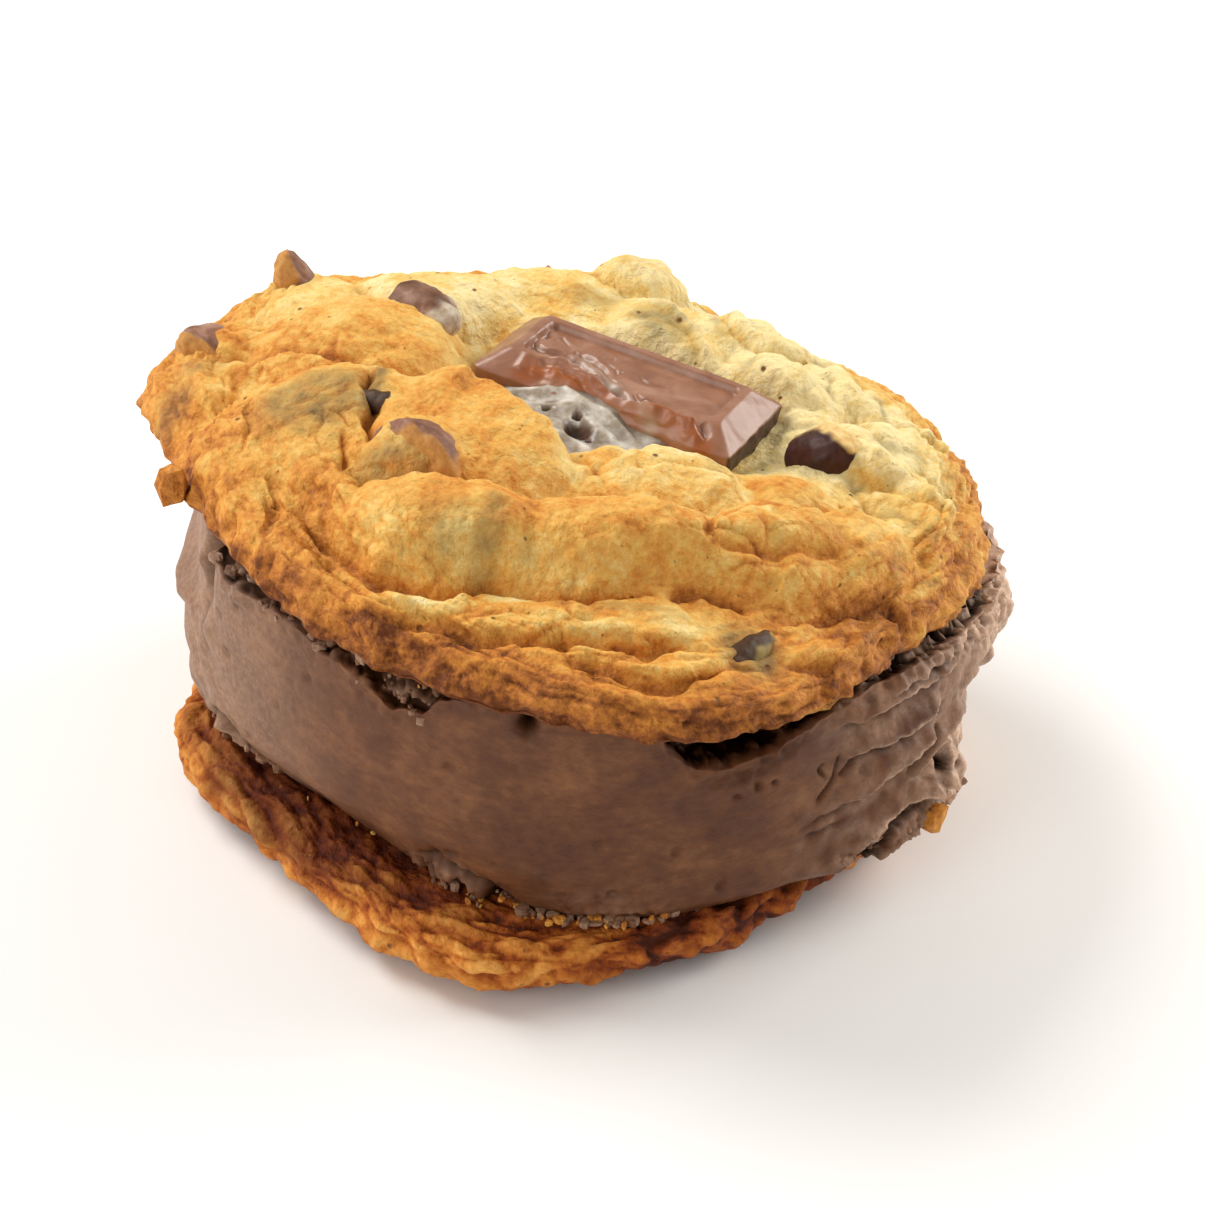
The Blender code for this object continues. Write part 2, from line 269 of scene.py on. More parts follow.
def baked_dough(name, stops, stain, roughness, bump_mm):
    """Baked cookie dough: flour, butter and sugar, browned in the oven. A matt, finely cracked
    crumb, pale where it is thick and hidden, golden on the puffs and brown at the thin rim; near
    a chip the melted chocolate stains it olive grey. The stain share also carries painted shade,
    and the pores are darkened with painted shade."""
    made, tree, shader, place = new_finish(name)
    brown = add(tree, "Attribute", attribute_name="browning", output="Fac")
    dark = add(tree, "Attribute", attribute_name="stain", output="Fac")
    # Browned patches a few mm wide, and a fine mottle the size of a sugar grain.
    patch = add(tree, "TexNoise", {"Vector": place, "Scale": 1 / 0.0034, "Detail": 3.0, "Roughness": 0.6})
    mottle = add(tree, "TexNoise", {"Vector": place, "Scale": 1 / 0.0008, "Detail": 4.0, "Roughness": 0.7})
    wide = add(tree, "MapRange", {"Value": patch, "To Min": -0.26, "To Max": 0.26})
    fine = add(tree, "MapRange", {"Value": mottle, "To Min": -0.34, "To Max": 0.34})
    uneven = add(tree, "Math", {0: wide, 1: fine}, operation="ADD")
    level = add(tree, "Math", {0: brown, 1: uneven}, operation="ADD", use_clamp=True)
    baked = add(tree, "ValToRGB", {"Fac": level}, stops)
    stained = add(tree, "Mix", {"Factor": dark, 6: baked, 7: to_linear(stain)}, **OF_COLOURS)
    # Pores where steam left: about one seed in four becomes a pit up to half a millimetre across,
    # darkened inside with painted shade.
    pore = add(tree, "TexVoronoi", {"Vector": place, "Scale": 1 / 0.0026, "Randomness": 1.0})
    chosen = add(tree, "SeparateColor", {"Color": pore.node.outputs["Color"]})
    wide_enough = add(tree, "MapRange", {"Value": chosen, "From Min": 0.72, "From Max": 1.0,
                                         "To Min": 0.0, "To Max": 0.10})
    hole = add(tree, "Math", {0: pore, 1: wide_enough}, operation="SUBTRACT")
    rim_of_hole = add(tree, "MapRange", {"Value": hole, "From Min": -0.02, "From Max": 0.07})
    holes = add(tree, "Mix", {"Factor": rim_of_hole, 6: to_linear("#85542C"), 7: stained}, **OF_COLOURS)
    lumps = add(tree, "TexNoise", {"Vector": place, "Scale": 1 / 0.0012, "Detail": 4.0, "Roughness": 0.6})
    granule = add(tree, "TexVoronoi", {"Vector": place, "Scale": 1 / 0.0009}, feature="SMOOTH_F1")
    height = add(tree, "Math", {0: granule, 1: -0.35, 2: lumps}, operation="MULTIPLY_ADD")
    pitted = add(tree, "Math", {0: rim_of_hole, 1: 0.5, 2: height}, operation="MULTIPLY_ADD")
    bump = add(tree, "Bump", {"Height": pitted, "Distance": bump_mm * MM, "Strength": 1.0})
    feed(tree, shader, {"Base Color": holes, "Normal": bump, "Roughness": roughness,
                        "Specular IOR Level": 0.18, "Subsurface Weight": 0.10,
                        "Subsurface Radius": (1.0, 0.55, 0.2), "Subsurface Scale": 0.001})
    return made


def wrinkles(angle, down, size, stretch, seed):
    """Folds that follow the rim: their height 2|noise| - 0.5, with the noise stretched round the
    edge, and how near its zero line, where two folds meet, each point is.  The angle is carried on a
    circle of 50 mm shrunk by the stretch, so that the folds close on themselves; down is the way
    down the skin, from the top out over the rim."""
    circle = 50.0 / stretch
    noise = clouds(np.stack([circle * np.cos(angle), circle * np.sin(angle), down], -1), size, seed)
    return 2 * np.abs(noise) - 0.5, bell(noise / 0.09)


def swelling(turn, inward, swells):
    """How far a rim swells out at each angle, in mm, fading over the outer 12 mm."""
    return np.interp(np.degrees(turn), *zip(*swells), period=360) * step_up((12 - inward) / 10)


def grown(skin, facing, lift, spread, floor):
    """A skin raised the way it faces, then spread away from its middle, and kept above a floor."""
    reach = np.maximum(np.hypot(skin[..., 0], skin[..., 1]), 1)
    skin = skin + facing * lift[..., None]
    skin[..., :2] += (spread / reach)[..., None] * skin[..., :2]
    skin[..., 2] = np.maximum(skin[..., 2], floor)
    return skin


AROUND = 580  # columns round each cookie
steps = np.linspace(-math.pi, math.pi, AROUND, endpoint=False)
angle = steps - 0.35 * np.cos(steps)  # closer together at the front, which is seen from near
base_points = cad_points("cookie_bottom")
base_low, base_high = (np.array(corner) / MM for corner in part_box("cookie_bottom"))
base_outline = cad_outline(base_points)
BASE_EDGE = 2.6  # how far the rim's curve reaches out, in mm
BASE_RIM_LIFT = 2.2  # how far the rim is clear of the table
BASE_REST_SHARE = 0.74  # the share of the radius that rests on it
# Where its edge swells out or draws in: degrees round and mm.
BASE_SWELL = [
    (0, -1.6), (20, -0.6), (60, 0), (150, 0), (174, -1.8), (184, -2.8), (193, 0), (200, 1.5), (207, 1.7),
    (220, 0.6), (232, 0.2), (245, 0.5), (255, 0.4), (265, -0.2), (280, -1.3), (290, -0.4), (298, 0.7),
    (306, -0.1), (330, -0.4), (345, -1.8),
]


def base_top(x, y):
    """The side that was baked on the tray: flat, falling 1 mm towards the rim."""
    share = np.hypot(x, y) / base_outline(np.arctan2(y, x))
    return base_high[2] - 1.0 * step_up((share - 0.86) / 0.14)


def base_under(part):
    """The dome pressed flat, which lifts towards the rim."""
    return base_low[2] + BASE_RIM_LIFT * step_up((part - BASE_REST_SHARE) / (1 - BASE_REST_SHARE))


base_reaches = np.interp(np.linspace(0, 1, 64), [0, 0.15, 1], [0, 0.72, 1])  # closer near the rim
base_skin = disc_skin(angle, base_outline(angle), edge=BASE_EDGE, widest=0.7, top=base_top,
                      base=base_under, reaches=base_reaches, rim_rows=18, base_rows=40)
turn, reach, inward, facing = measured(base_skin, angle, base_outline)
at_rim = step_up((16 - inward) / 12)
down_skin = inward + base_skin[..., 2]
coarse, coarse_crease = wrinkles(turn, down_skin, 2.4, 3.0, 5)
fine, fine_crease = wrinkles(turn, down_skin, 1.2, 2.4, 11)
flakes, flake_crease = wrinkles(turn, down_skin, 4.5, 1.6, 12)
creased = at_rim * np.maximum(np.maximum(0.8 * coarse_crease, 0.5 * fine_crease), 0.7 * flake_crease)
lift = relief(base_skin, (0.40, 6.5, 3), (0.22, 2.6, 4), (0.14, 1.1, 7))
lift += at_rim * (0.60 * coarse + 0.36 * fine + 0.50 * flakes)
lift += 0.30 * (0.5 - grains(base_skin, 2.0, 6)[0])
# Where the dome was pressed on the table it is flat.
off_table = step_up((base_skin[..., 2] - base_low[2] - 0.2) / 1.2)
lift = lift * off_table - 0.05 * (1 - off_table)
spread = clouds(base_skin, 5.0, 8) * step_up((5 - inward) / 4) + swelling(turn, inward, BASE_SWELL)
base_skin = grown(base_skin, facing, lift, spread, base_low[2])
# Browner inside the rim and at the front right, and paler at its very edge. Darker in the creases of
# its rim, and on the left in the slab's shade: both painted shade.
in_shade = near(turn, 222, 60)
base_brown = 0.39 + relief(base_skin, (0.16, 9.0, 9), (0.14, 3.0, 10)) - 0.30 * np.clip(lift, -0.6, 0.5)
base_brown += 0.20 * step_up((inward - 3) / 6) + 0.42 * creased - 0.12 * step_up((2.5 - inward) / 2.5)
base_brown += in_shade * (0.02 + 0.20 * step_up((inward - 1) / 4)) + 0.42 * near(turn, 300, 40)
# Dark reddish brown round the slab's foot, most on its shaded left: crumb soaked by melted ice
# cream, and the slab's painted contact shadow.
slab_low, slab_high = (np.array(corner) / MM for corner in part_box("ice_cream"))
foot_radius = (slab_high - slab_low)[:2].mean() / 2
soaked = step_up((foot_radius + 1.6 + 1.6 * clouds(base_skin, 5.0, 13) - reach) / 4.5)
soaked *= step_up((facing[..., 2] + 0.3) / 0.5) * (0.25 + 0.75 * in_shade)
base_finish = baked_dough(
    "baked cookie dough, tray side",
    [(0.0, "#E2A554"), (0.25, "#D08638"), (0.5, "#B06120"), (0.75, "#873C10"), (1.0, "#4A1C07")],
    "#4A1806", 0.66, 0.6)
bottom_cookie = closed_skin("bottom_cookie", base_skin, base_finish, browning=base_brown, stain=0.72 * soaked)
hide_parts("cookie_bottom")
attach(bottom_cookie, "root")


# ---- Ice cream -------------------------------------------------------------------------------
# A thick slab of chocolate ice cream, pressed between the cookies and smoothed round its side. Its
# top edge has torn under the lid, its lower edge crumbles, and one side has burst into flakes.

def underside(node):
    """The flat underside of a CAD node: its unit normal, pointing up, and a point on it in mm,
    both from the middle values of the faces that look down."""
    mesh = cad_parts[node].data
    normals, centres = np.zeros(len(mesh.polygons) * 3), np.zeros(len(mesh.polygons) * 3)
    mesh.polygons.foreach_get("normal", normals)
    mesh.polygons.foreach_get("center", centres)
    normals, centres = normals.reshape(-1, 3), centres.reshape(-1, 3)
    looks_down = normals[:, 2] < -0.985
    normal = -np.median(normals[looks_down], axis=0)
    normal /= np.linalg.norm(normal)
    height = np.median(centres[looks_down] @ normal)
    middle = centres[looks_down].mean(axis=0)
    middle[2] = (height - normal[:2] @ middle[:2]) / normal[2]
    return normal, middle / MM


lid_normal, lid_point = underside("cookie_top")
slab_points = cad_points("ice_cream")
MIDDLE_BAND = (14, 19)  # the heights, in mm, between which the slab's outline is taken
in_band = (slab_points[:, 2] > MIDDLE_BAND[0]) & (slab_points[:, 2] < MIDDLE_BAND[1])
slab_outline = cad_outline(slab_points[in_band], 5)
LID_GAP = 0.3  # mm between the slab and the cookie on it


def lid_height(x, y):
    """Height of the plane under the top cookie."""
    lean = lid_normal[0] * (x - lid_point[0]) + lid_normal[1] * (y - lid_point[1])
    return lid_point[2] - lean / lid_normal[2]


def beside(x, y, points):
    """The signed distance to a path, positive on its left, and the share of its length at which the
    nearest place lies.  The path's corners are first cut twice, a quarter of a side from each."""
    path = np.array(points, float)
    for _ in range(2):
        sides = np.diff(path, axis=0)
        cut = np.stack([path[:-1] + sides / 4, path[:-1] + sides * 3 / 4], 1).reshape(-1, 2)
        path = np.concatenate([path[:1], cut, path[-1:]])
    sides = np.diff(path, axis=0)
    lengths = np.hypot(*sides.T)
    gone = np.concatenate([[0], np.cumsum(lengths)])
    nearest, signed, along = np.full(x.shape, 1e9), np.zeros(x.shape), np.zeros(x.shape)
    for (from_x, from_y), (side_x, side_y), length, before in zip(path, sides, lengths, gone):
        share = np.clip(((x - from_x) * side_x + (y - from_y) * side_y) / length**2, 0, 1)
        apart = np.hypot(x - from_x - share * side_x, y - from_y - share * side_y)
        closer = apart < nearest
        left = np.where(side_x * (y - from_y) - side_y * (x - from_x) > 0, 1, -1)
        signed = np.where(closer, left * apart, signed)
        along = np.where(closer, (before + share * length) / gone[-1], along)
        nearest = np.minimum(nearest, apart)
    return signed, along


def folded(x, y, folds, cracks):
    """The heights of folds and cracks added up, how deep in a crease each point is, and how near
    the crest of a fold, both from 0 to 1.

    A fold (height, lip, width, crease depth, path) rises on the path's left as a quarter sine over
    its lip and sinks back over its width; its crease is a bell-shaped groove just outside the lip.
    A crack (half width, depth, path) is a bell-shaped groove.  Both fade out at their ends."""
    height, crease, crest = np.zeros(x.shape), np.zeros(x.shape), np.zeros(x.shape)
    for high, lip, width, deep, points in folds:
        apart, along = beside(x, y, points)
        fade = step_up(along * 7) * step_up((1 - along) * 7)
        rounded = np.sin(math.pi / 2 * np.clip(apart / lip, 0, 1))
        groove = fade * bell((apart + 0.3) / 0.5)
        height += fade * high * rounded * (1 - step_up((apart - lip) / width)) - deep * groove
        crease = np.maximum(crease, groove * min(1.0, deep + 0.2))
        crest = np.maximum(crest, fade * bell((apart - 0.8 * lip) / (0.5 * lip)))
    for half_wide, deep, points in cracks:
        apart, along = beside(x, y, points)
        groove = step_up(along * 5) * step_up((1 - along) * 5) * bell(apart / half_wide)
        height -= deep * groove
        crease = np.maximum(crease, groove * min(1.0, deep))
    return height, crease, crest


def knobs(place, size, seed):
    """Round knobs, one to a lattice cell of that size: 1 at its seed, 0 at 0.8 cells from it."""
    return 1 - np.minimum(grains(place, size, seed)[0] / 0.8, 1) ** 2


SIDE_ROWS, CAP_ROWS, SLAB_AROUND = 118, 8, 720  # rows up the side and over each end, and columns
SLAB_HIGH = 31.0  # the slab's usual height, which turns a share of it into mm
MM_A_DEGREE = math.radians(47.0)  # mm round the side to a degree, at a radius of 47 mm
# Ledges and cracks of the burst side, as folds and cracks whose paths are in degrees round the slab
# and shares of its height.
SLAB_FOLDS = [
    (1.5, 0.8, 5, 0.9, [(313, 0.34), (316, 0.39), (320, 0.44), (325, 0.5), (330, 0.55)]),
    (1, 0.7, 4, 0.6, [(311.5, 0.6), (315, 0.63), (320, 0.62), (326, 0.67), (331, 0.7)]),
    (1.1, 0.8, 3.5, 0.6, [(309, 0.8), (314, 0.79), (320, 0.82), (327, 0.83), (333, 0.84)]),
    (0.9, 0.6, 3, 0.5, [(318, 0.88), (323, 0.91), (329, 0.92), (335, 0.92)]),
    (1.4, 0.9, 4, 0.9, [(326, 0.3), (328, 0.4), (331, 0.46), (336, 0.5), (342, 0.52)]),
    (1.2, 0.9, 4, 0.8, [(315, 0.06), (319, 0.14), (324, 0.18), (330, 0.17), (336, 0.22)]),
    (1, 0.9, 4, 0.7, [(262, 0.05), (257, 0.11), (252.5, 0.15), (249, 0.1)]),
    (0.9, 0.8, 3, 0.7, [(213, 0.04), (210, 0.15), (206, 0.19), (202, 0.12)]),
    (1, 1, 5, 0.4, [(20, 0.55), (30, 0.62), (40, 0.6), (52, 0.66)]),
    (0.8, 1, 5, 0.4, [(95, 0.35), (110, 0.4), (124, 0.37), (138, 0.44)]),
]
SLAB_CRACKS = [
    (0.3, 1.2, [(307.5, 0.4), (309.2, 0.47), (310.2, 0.55), (311, 0.66)]),
    (0.28, 0.8, [(308.5, 0.52), (307, 0.58), (308, 0.64)]),
    (0.3, 1, [(310.5, 0.52), (312.5, 0.585), (315.5, 0.62), (320, 0.61)]),
    (0.26, 0.7, [(304, 0.3), (309, 0.335), (314, 0.35), (319, 0.42), (323, 0.47)]),
    (0.5, 1.5, [(324, 0.36), (325.5, 0.45), (328, 0.52), (330, 0.6)]),
    (0.3, 0.5, [(305.5, 0.24), (309, 0.27), (313, 0.29)]),
    (1.3, 3.6, [(207, 1.02), (205, 0.9), (203.4, 0.8), (203.2, 0.7), (204.2, 0.58)]),
    (0.8, 0.5, [(204, 0.62), (202.5, 0.5), (204, 0.38)]),
    (0.7, 1.2, [(206, 0.93), (211, 0.9), (215, 0.88)]),
    (0.5, 1.2, [(331, 0.38), (332, 0.44), (334, 0.47)]),
    (0.35, 0.7, [(38, 0.3), (45, 0.37), (55, 0.36)]),
]
# Pits and crumbled holes: degrees, share of the height, half width in mm, depth in mm.
SLAB_PITS = [
    (252.6, 0.18, 0.7, 0.9), (255, 0.2, 0.6, 1.2), (251, 0.08, 1, 1.8), (256.2, 0.045, 1.1, 2),
    (247, 0.1, 0.6, 0.9), (265, 0.865, 1, 2.2), (207.5, 0.09, 1, 1.6), (210.5, 0.04, 0.9, 1.4),
    (213.5, 0.72, 0.5, 0.5), (223, 0.46, 0.4, 0.4), (262, 0.02, 1.6, 2.4), (331.3, 0.41, 1.1, 2),
    (331.8, 0.32, 1, 2.8), (332, 0.19, 0.8, 2.2), (327, 0.36, 0.7, 1.2), (316, 0.03, 1.3, 2.4),
    (336, 0.24, 0.6, 1.2), (318, 0.05, 1.4, 2), (297, 0.6, 0.7, 0.8), (294, 0.57, 0.5, 0.6),
    (300, 0.59, 0.6, 0.8), (120, 0.7, 0.8, 1), (70, 0.25, 0.9, 1.2), (160, 0.12, 1.1, 1.6),
    (28, 0.2, 1, 1.4), (345, 0.45, 0.8, 1.2),
]
# Where the top edge has torn away: degrees, and the share of the height where the tear ends.
TORN_TO = [
    (0, 1), (18, 1), (30, 0.94), (48, 0.93), (60, 1), (84, 1), (100, 0.92), (118, 0.94), (132, 1),
    (158, 1), (172, 0.94), (184, 0.95), (196, 0.93), (203, 0.86), (207, 0.8), (210.5, 0.775),
    (214, 0.79), (218, 0.8), (223, 0.82), (227, 0.81), (232, 0.775), (236, 0.785), (239, 0.76),
    (242, 0.745), (245.5, 0.72), (248, 0.75), (250.5, 0.755), (253, 0.84), (257, 0.88), (262, 0.91),
    (265, 0.94), (281, 0.97), (283.5, 0.8), (287.7, 0.715), (292.8, 0.705), (299.5, 0.76), (305, 0.835),
    (309, 0.88), (315, 0.94), (322, 0.95), (332, 0.955), (342, 0.965), (352, 1),
]
# Where the foot crumbles: how much, degrees round, and half the width in degrees.
CRUMBLING = [(1.0, 253, 13), (0.8, 207, 10), (0.5, 278, 14), (0.7, 322, 18), (0.5, 90, 90)]
# Where the side bulges or draws in: mm, degrees round, half the width in degrees, then the share of
# the height where it begins and over which it grows, upwards or, if less than none, downwards.
SLAB_BULGES = [
    (-4.6, 230, 55, 0.24, -0.24), (1.7, -2, 24, 0.40, 0.30), (-0.51, -2, 24, 0.85, 0.15),
    (-3.0, 351, 21, 0.70, -0.12), (2.6, 321, 17, 0.22, -0.16), (-2.6, 189, 20, 0.48, 0.18),
]
steps = np.linspace(-math.pi, math.pi, SLAB_AROUND, endpoint=False)
slab_angle = steps - 0.4 * np.cos(steps - 0.3)  # closer together where the side has burst
cap = np.concatenate([np.linspace(0, 0.97, CAP_ROWS), np.ones(SIDE_ROWS), np.linspace(0.97, 0, CAP_ROWS)])
turn = np.broadcast_to(slab_angle, (len(cap), SLAB_AROUND))
degrees = np.degrees(turn) % 360
torn_to = np.interp(degrees, *zip(*TORN_TO), period=360)
# As shares: the height of the ledge where the tear ends, and the rows below it and on it.  It is
# 1 mm high but up to 6.6 mm deep, so that a quarter of the rows lie on it.
LEDGE, BELOW_LEDGE, ON_LEDGE = 0.034, 0.58, 0.25
ledge_top = np.minimum(torn_to + LEDGE, 0.985)
row_share = np.concatenate([np.ones(CAP_ROWS), np.linspace(1, 0, SIDE_ROWS), np.zeros(CAP_ROWS)])[:, None]
high = (ledge_top - LEDGE) * np.clip(row_share / BELOW_LEDGE, 0, 1)
high = high + LEDGE * np.clip((row_share - BELOW_LEDGE) / ON_LEDGE, 0, 1)
above_ledge = (row_share - BELOW_LEDGE - ON_LEDGE) / (1 - BELOW_LEDGE - ON_LEDGE)
high = high + (1 - ledge_top) * np.clip(above_ledge, 0, 1)
slab_radius = slab_outline(turn) + 0.5 * np.sin(math.pi * high)
for bulge, *sector, begins, over in SLAB_BULGES:
    slab_radius += bulge * near(turn, *sector) * step_up((high - begins) / over)
slab_radius += 2.4 * near(turn, 337, 11) * step_up((0.40 - high) / 0.14) * step_up((high - 0.02) / 0.06)
slab_radius += 0.8 * near(turn, 190, 8) * bell((high - 0.50) / 0.05)
slab_radius -= 0.9 * step_up((high - 0.93) / 0.07) + 0.7 * step_up((0.05 - high) / 0.05)
reach = slab_radius * cap[:, None]
x, y = reach * np.cos(turn), reach * np.sin(turn)
ceiling = lid_height(x, y) - LID_GAP
slab = np.stack([x, y, slab_low[2] + (ceiling - slab_low[2]) * high], -1)
facing = outward(slab)
side = step_up((cap[:, None] - 0.9) / 0.1) * np.ones_like(turn)
along_side = degrees * MM_A_DEGREE + 0.5 * clouds(slab, 3.0, 20)
up_side = high * SLAB_HIGH + relief(slab, (0.5, 3.0, 24), (0.3, 1.3, 28))


def to_side(paths):
    """Paths given in degrees and shares of the height, in mm round and up the slab's side."""
    scale = np.array([MM_A_DEGREE, SLAB_HIGH])
    return [(*sizes, np.array(points) * scale) for *sizes, points in paths]


fold_lift, fold_crease, fold_crest = folded(along_side, up_side, to_side(SLAB_FOLDS), to_side(SLAB_CRACKS))
pressed = relief(slab * [0.5, 0.5, 1.3], (0.40, 8.0, 21), (0.14, 3.0, 22)) + 0.04 * clouds(slab, 0.9, 23)
# The tear: how far back it goes, and its crumbs, which follow where the torn face now lies so that
# they do not stretch over the ledge.  At the front right it is a deep gap, painted black as shade.
black_gap = near(turn, 296, 17)
torn = step_up((high - torn_to - relief(slab, (0.008, 2.2, 26), (0.004, 0.9, 39)) - 0.004) / 0.022)
torn_back = torn * (-2.2 - 4.4 * black_gap)
torn_face = slab + facing * (side * torn_back)[..., None]
ragged = relief(torn_face, (1.0, 2.0, 25), (0.6, 0.9, 27)) + 1.2 * (knobs(torn_face, 1.5, 41) - 0.5)
on_ledge = 4 * torn * (1 - torn)
tear = torn_back + torn * (1 - 0.8 * black_gap) * (1 - 0.7 * on_ledge) * ragged
tear += 0.35 * bell((high - torn_to + 0.02) / 0.025) * ragged
rough_below = near(turn, 297, 13) * bell((high - torn_to + 0.05) / 0.05)
# Crumbling: round the foot, and along the top edge at the right.
patchy = 0.05 * clouds(slab, 4.0, 29)
crumble = sum(much * near(turn, *sector) for much, *sector in CRUMBLING)
crumble = np.clip(crumble, 0, 1) * step_up((0.20 - high + patchy) / 0.10)
broken_top = near(turn, 341, 26) * step_up((high - 0.80 + patchy) / 0.10)
crumble += broken_top
crumbs = knobs(slab, 1.7, 30)
clumps = crumble * (0.9 * (crumbs - 0.5) + relief(slab, (0.7, 0.8, 31), (0.4, 2.4, 46)))
# Flakes over the burst side, and coarse lumps of frosted ice cream behind them.
flaky = near(turn, 324, 17) * step_up((high - 0.05) / 0.1)
flakes = flaky * relief(slab, (0.30, 3.5, 33), (0.22, 1.1, 32))
flakes += rough_below * (0.7 * clouds(slab, 1.3, 40) - 0.5)
lump_zone = np.clip(near(turn, -4, 36) + 0.9 * near(turn, 338, 16) * step_up((0.55 - high) / 0.2), 0, 1)
lumps = lump_zone * (1.3 * (knobs(slab, 3.4, 36) - 0.5) + relief(slab, (0.9, 4.5, 42), (0.45, 1.5, 35)))
broken_low = near(turn, 333, 10) * step_up((0.5 - high) / 0.1)
lumps += broken_low * (0.9 * (crumbs - 0.5) + 0.5 * clouds(slab, 1.2, 45))
lumps += 0.9 * near(turn, 198, 14) * clouds(slab, 4.0, 43)
pits = -0.35 * step_up((0.17 - grains(slab, 6.0, 37)[0]) / 0.10)
for at_degrees, at_share, half_wide, deep in SLAB_PITS:
    apart = np.hypot(along_side - at_degrees * MM_A_DEGREE, up_side - at_share * SLAB_HIGH)
    pits -= deep * bell(apart / half_wide)
slab_lift = side * (pressed + tear + fold_lift + clumps + flakes + lumps + pits)
slab = slab + facing * slab_lift[..., None]
slab[..., 2] += side * on_ledge * 0.5 * ragged
slab_roof = np.maximum(lid_height(slab[..., 0], slab[..., 1]) - LID_GAP, slab_low[2])
slab[..., 2] = np.clip(slab[..., 2], slab_low[2], slab_roof)
# Painted shade: near black in the tear and its gap, dark in the creases, the pits and between clumps.
# Frost on the lumps, crests and torn crumbs, partly painted highlight, and painted light on the lit
# left side and on the burst side at the right.
hollow = step_up(2.5 * torn) * (0.8 + 0.6 * black_gap - 0.6 * step_up((ragged - 0.1) / 0.5))
hollow += 0.7 * fold_crease - 0.5 * pits - 0.75 * np.minimum(clumps, 0) + 0.4 * rough_below
hollow = np.clip(hollow, 0, 1) * side
frost = 1.1 * lump_zone * np.clip(0.72 + 0.5 * clouds(slab, 2.2, 38) + 0.4 * lumps, 0, 1)
frost += 0.7 * flaky * fold_crest + 0.30 * near(turn, 318, 20) * (0.5 + clouds(slab, 2.5, 44))
frost += 0.25 * crumble * crumbs + 0.45 * broken_top * np.clip(clumps + 0.4, 0, 1)
frost += 0.35 * torn * np.clip(ragged, 0, 1) * (1 - black_gap)
frost = np.clip(frost + 0.36 * near(turn, 200, 45) + 0.25 * near(turn, 70, 120), 0, 1)


def churned_ice_cream(name):
    """Chocolate ice cream: cream, cocoa, air and small ice crystals, churned and pressed smooth. A
    satin skin with faint drag marks round the side, paler where frost lies on broken lumps and where
    painted light lies on crests and lit sides, and near black with painted shade in the tear, creases and
    pits."""
    made, tree, shader, place = new_finish(name)
    frosty = add(tree, "Attribute", attribute_name="frost", output="Fac")
    deep = add(tree, "Attribute", attribute_name="hollow", output="Fac")
    flatter = add(tree, "Mapping", {"Vector": place, "Scale": (0.6, 0.6, 1.0)})
    drag = add(tree, "TexNoise", {"Vector": flatter, "Scale": 1 / 0.0014, "Detail": 6.0, "Roughness": 0.7})
    cloud = add(tree, "TexNoise", {"Vector": place, "Scale": 1 / 0.009, "Detail": 3.0, "Roughness": 0.55})
    both = add(tree, "Math", {0: drag, 1: cloud}, operation="ADD")
    half = add(tree, "Math", {0: both, 1: 0.5}, operation="MULTIPLY")
    tone = add(tree, "ValToRGB", {"Fac": half}, [(0.34, "#4D2914"), (0.50, "#643A1F"), (0.66, "#7F512E")])
    crystal = add(tree, "TexNoise", {"Vector": place, "Scale": 1 / 0.0008, "Detail": 4.0, "Roughness": 0.7})
    sparkle = add(tree, "MapRange", {"Value": crystal, "From Min": 0.35, "From Max": 0.7, "To Min": 0.42})
    rime = add(tree, "Math", {0: sparkle, 1: frosty}, operation="MULTIPLY")
    iced = add(tree, "Mix", {"Factor": rime, 6: tone, 7: to_linear("#E3BD9F")}, **OF_COLOURS)
    # Painted shade, near black, in the tear, its gap, the creases and the pits.
    shadowed = add(tree, "Mix", {"Factor": deep, 6: iced, 7: to_linear("#160803")}, **OF_COLOURS)
    fine = add(tree, "TexNoise", {"Vector": flatter, "Scale": 1 / 0.0009, "Detail": 5.0, "Roughness": 0.65})
    bump = add(tree, "Bump", {"Height": fine, "Distance": 0.16 * MM, "Strength": 1.0})
    # Frost and its painted light are wetter than the skin, and the painted shade in the torn hollows
    # has no sheen.
    wetter = add(tree, "MapRange", {"Value": rime, "To Min": 0.56, "To Max": 0.28})
    sheen = add(tree, "MapRange", {"Value": deep, "To Min": 0.32, "To Max": 0.0})
    feed(tree, shader, {"Base Color": shadowed, "Normal": bump, "Roughness": wetter,
                        "Specular IOR Level": sheen, "Subsurface Weight": 0.15,
                        "Subsurface Radius": (1.0, 0.6, 0.4), "Subsurface Scale": 0.0015})
    return made


ice_cream_slab = closed_skin("ice_cream_slab", slab, churned_ice_cream("churned chocolate ice cream"),
                             hollow=hollow, frost=frost)
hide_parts("ice_cream")
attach(ice_cream_slab, "root")


# ---- Top cookie ------------------------------------------------------------------------------
# The cookie that closes the sandwich, dome up and a little tilted. Its dough rose in soft puffs
# that meet in creases, browned on their crowns, and set in wrinkles round the thin rim.

HEART = np.array([-0.43, 1.97])  # where the dough spread from, off the middle of its box
lid_low, lid_high = (np.array(corner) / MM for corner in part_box("cookie_top"))
heart_xy = (lid_low[:2] + lid_high[:2]) / 2 + HEART
heart = np.array([*heart_xy, lid_height(*heart_xy)])
lid_x = np.cross([0, 1, 0], lid_normal)
lid_x /= np.linalg.norm(lid_x)
lid_axes = np.stack([lid_x, np.cross(lid_normal, lid_x), lid_normal])


def from_lid(places):
    """Points in the tilted cookie's own frame, in mm from its heart, carried to the world."""
    return places @ lid_axes + heart


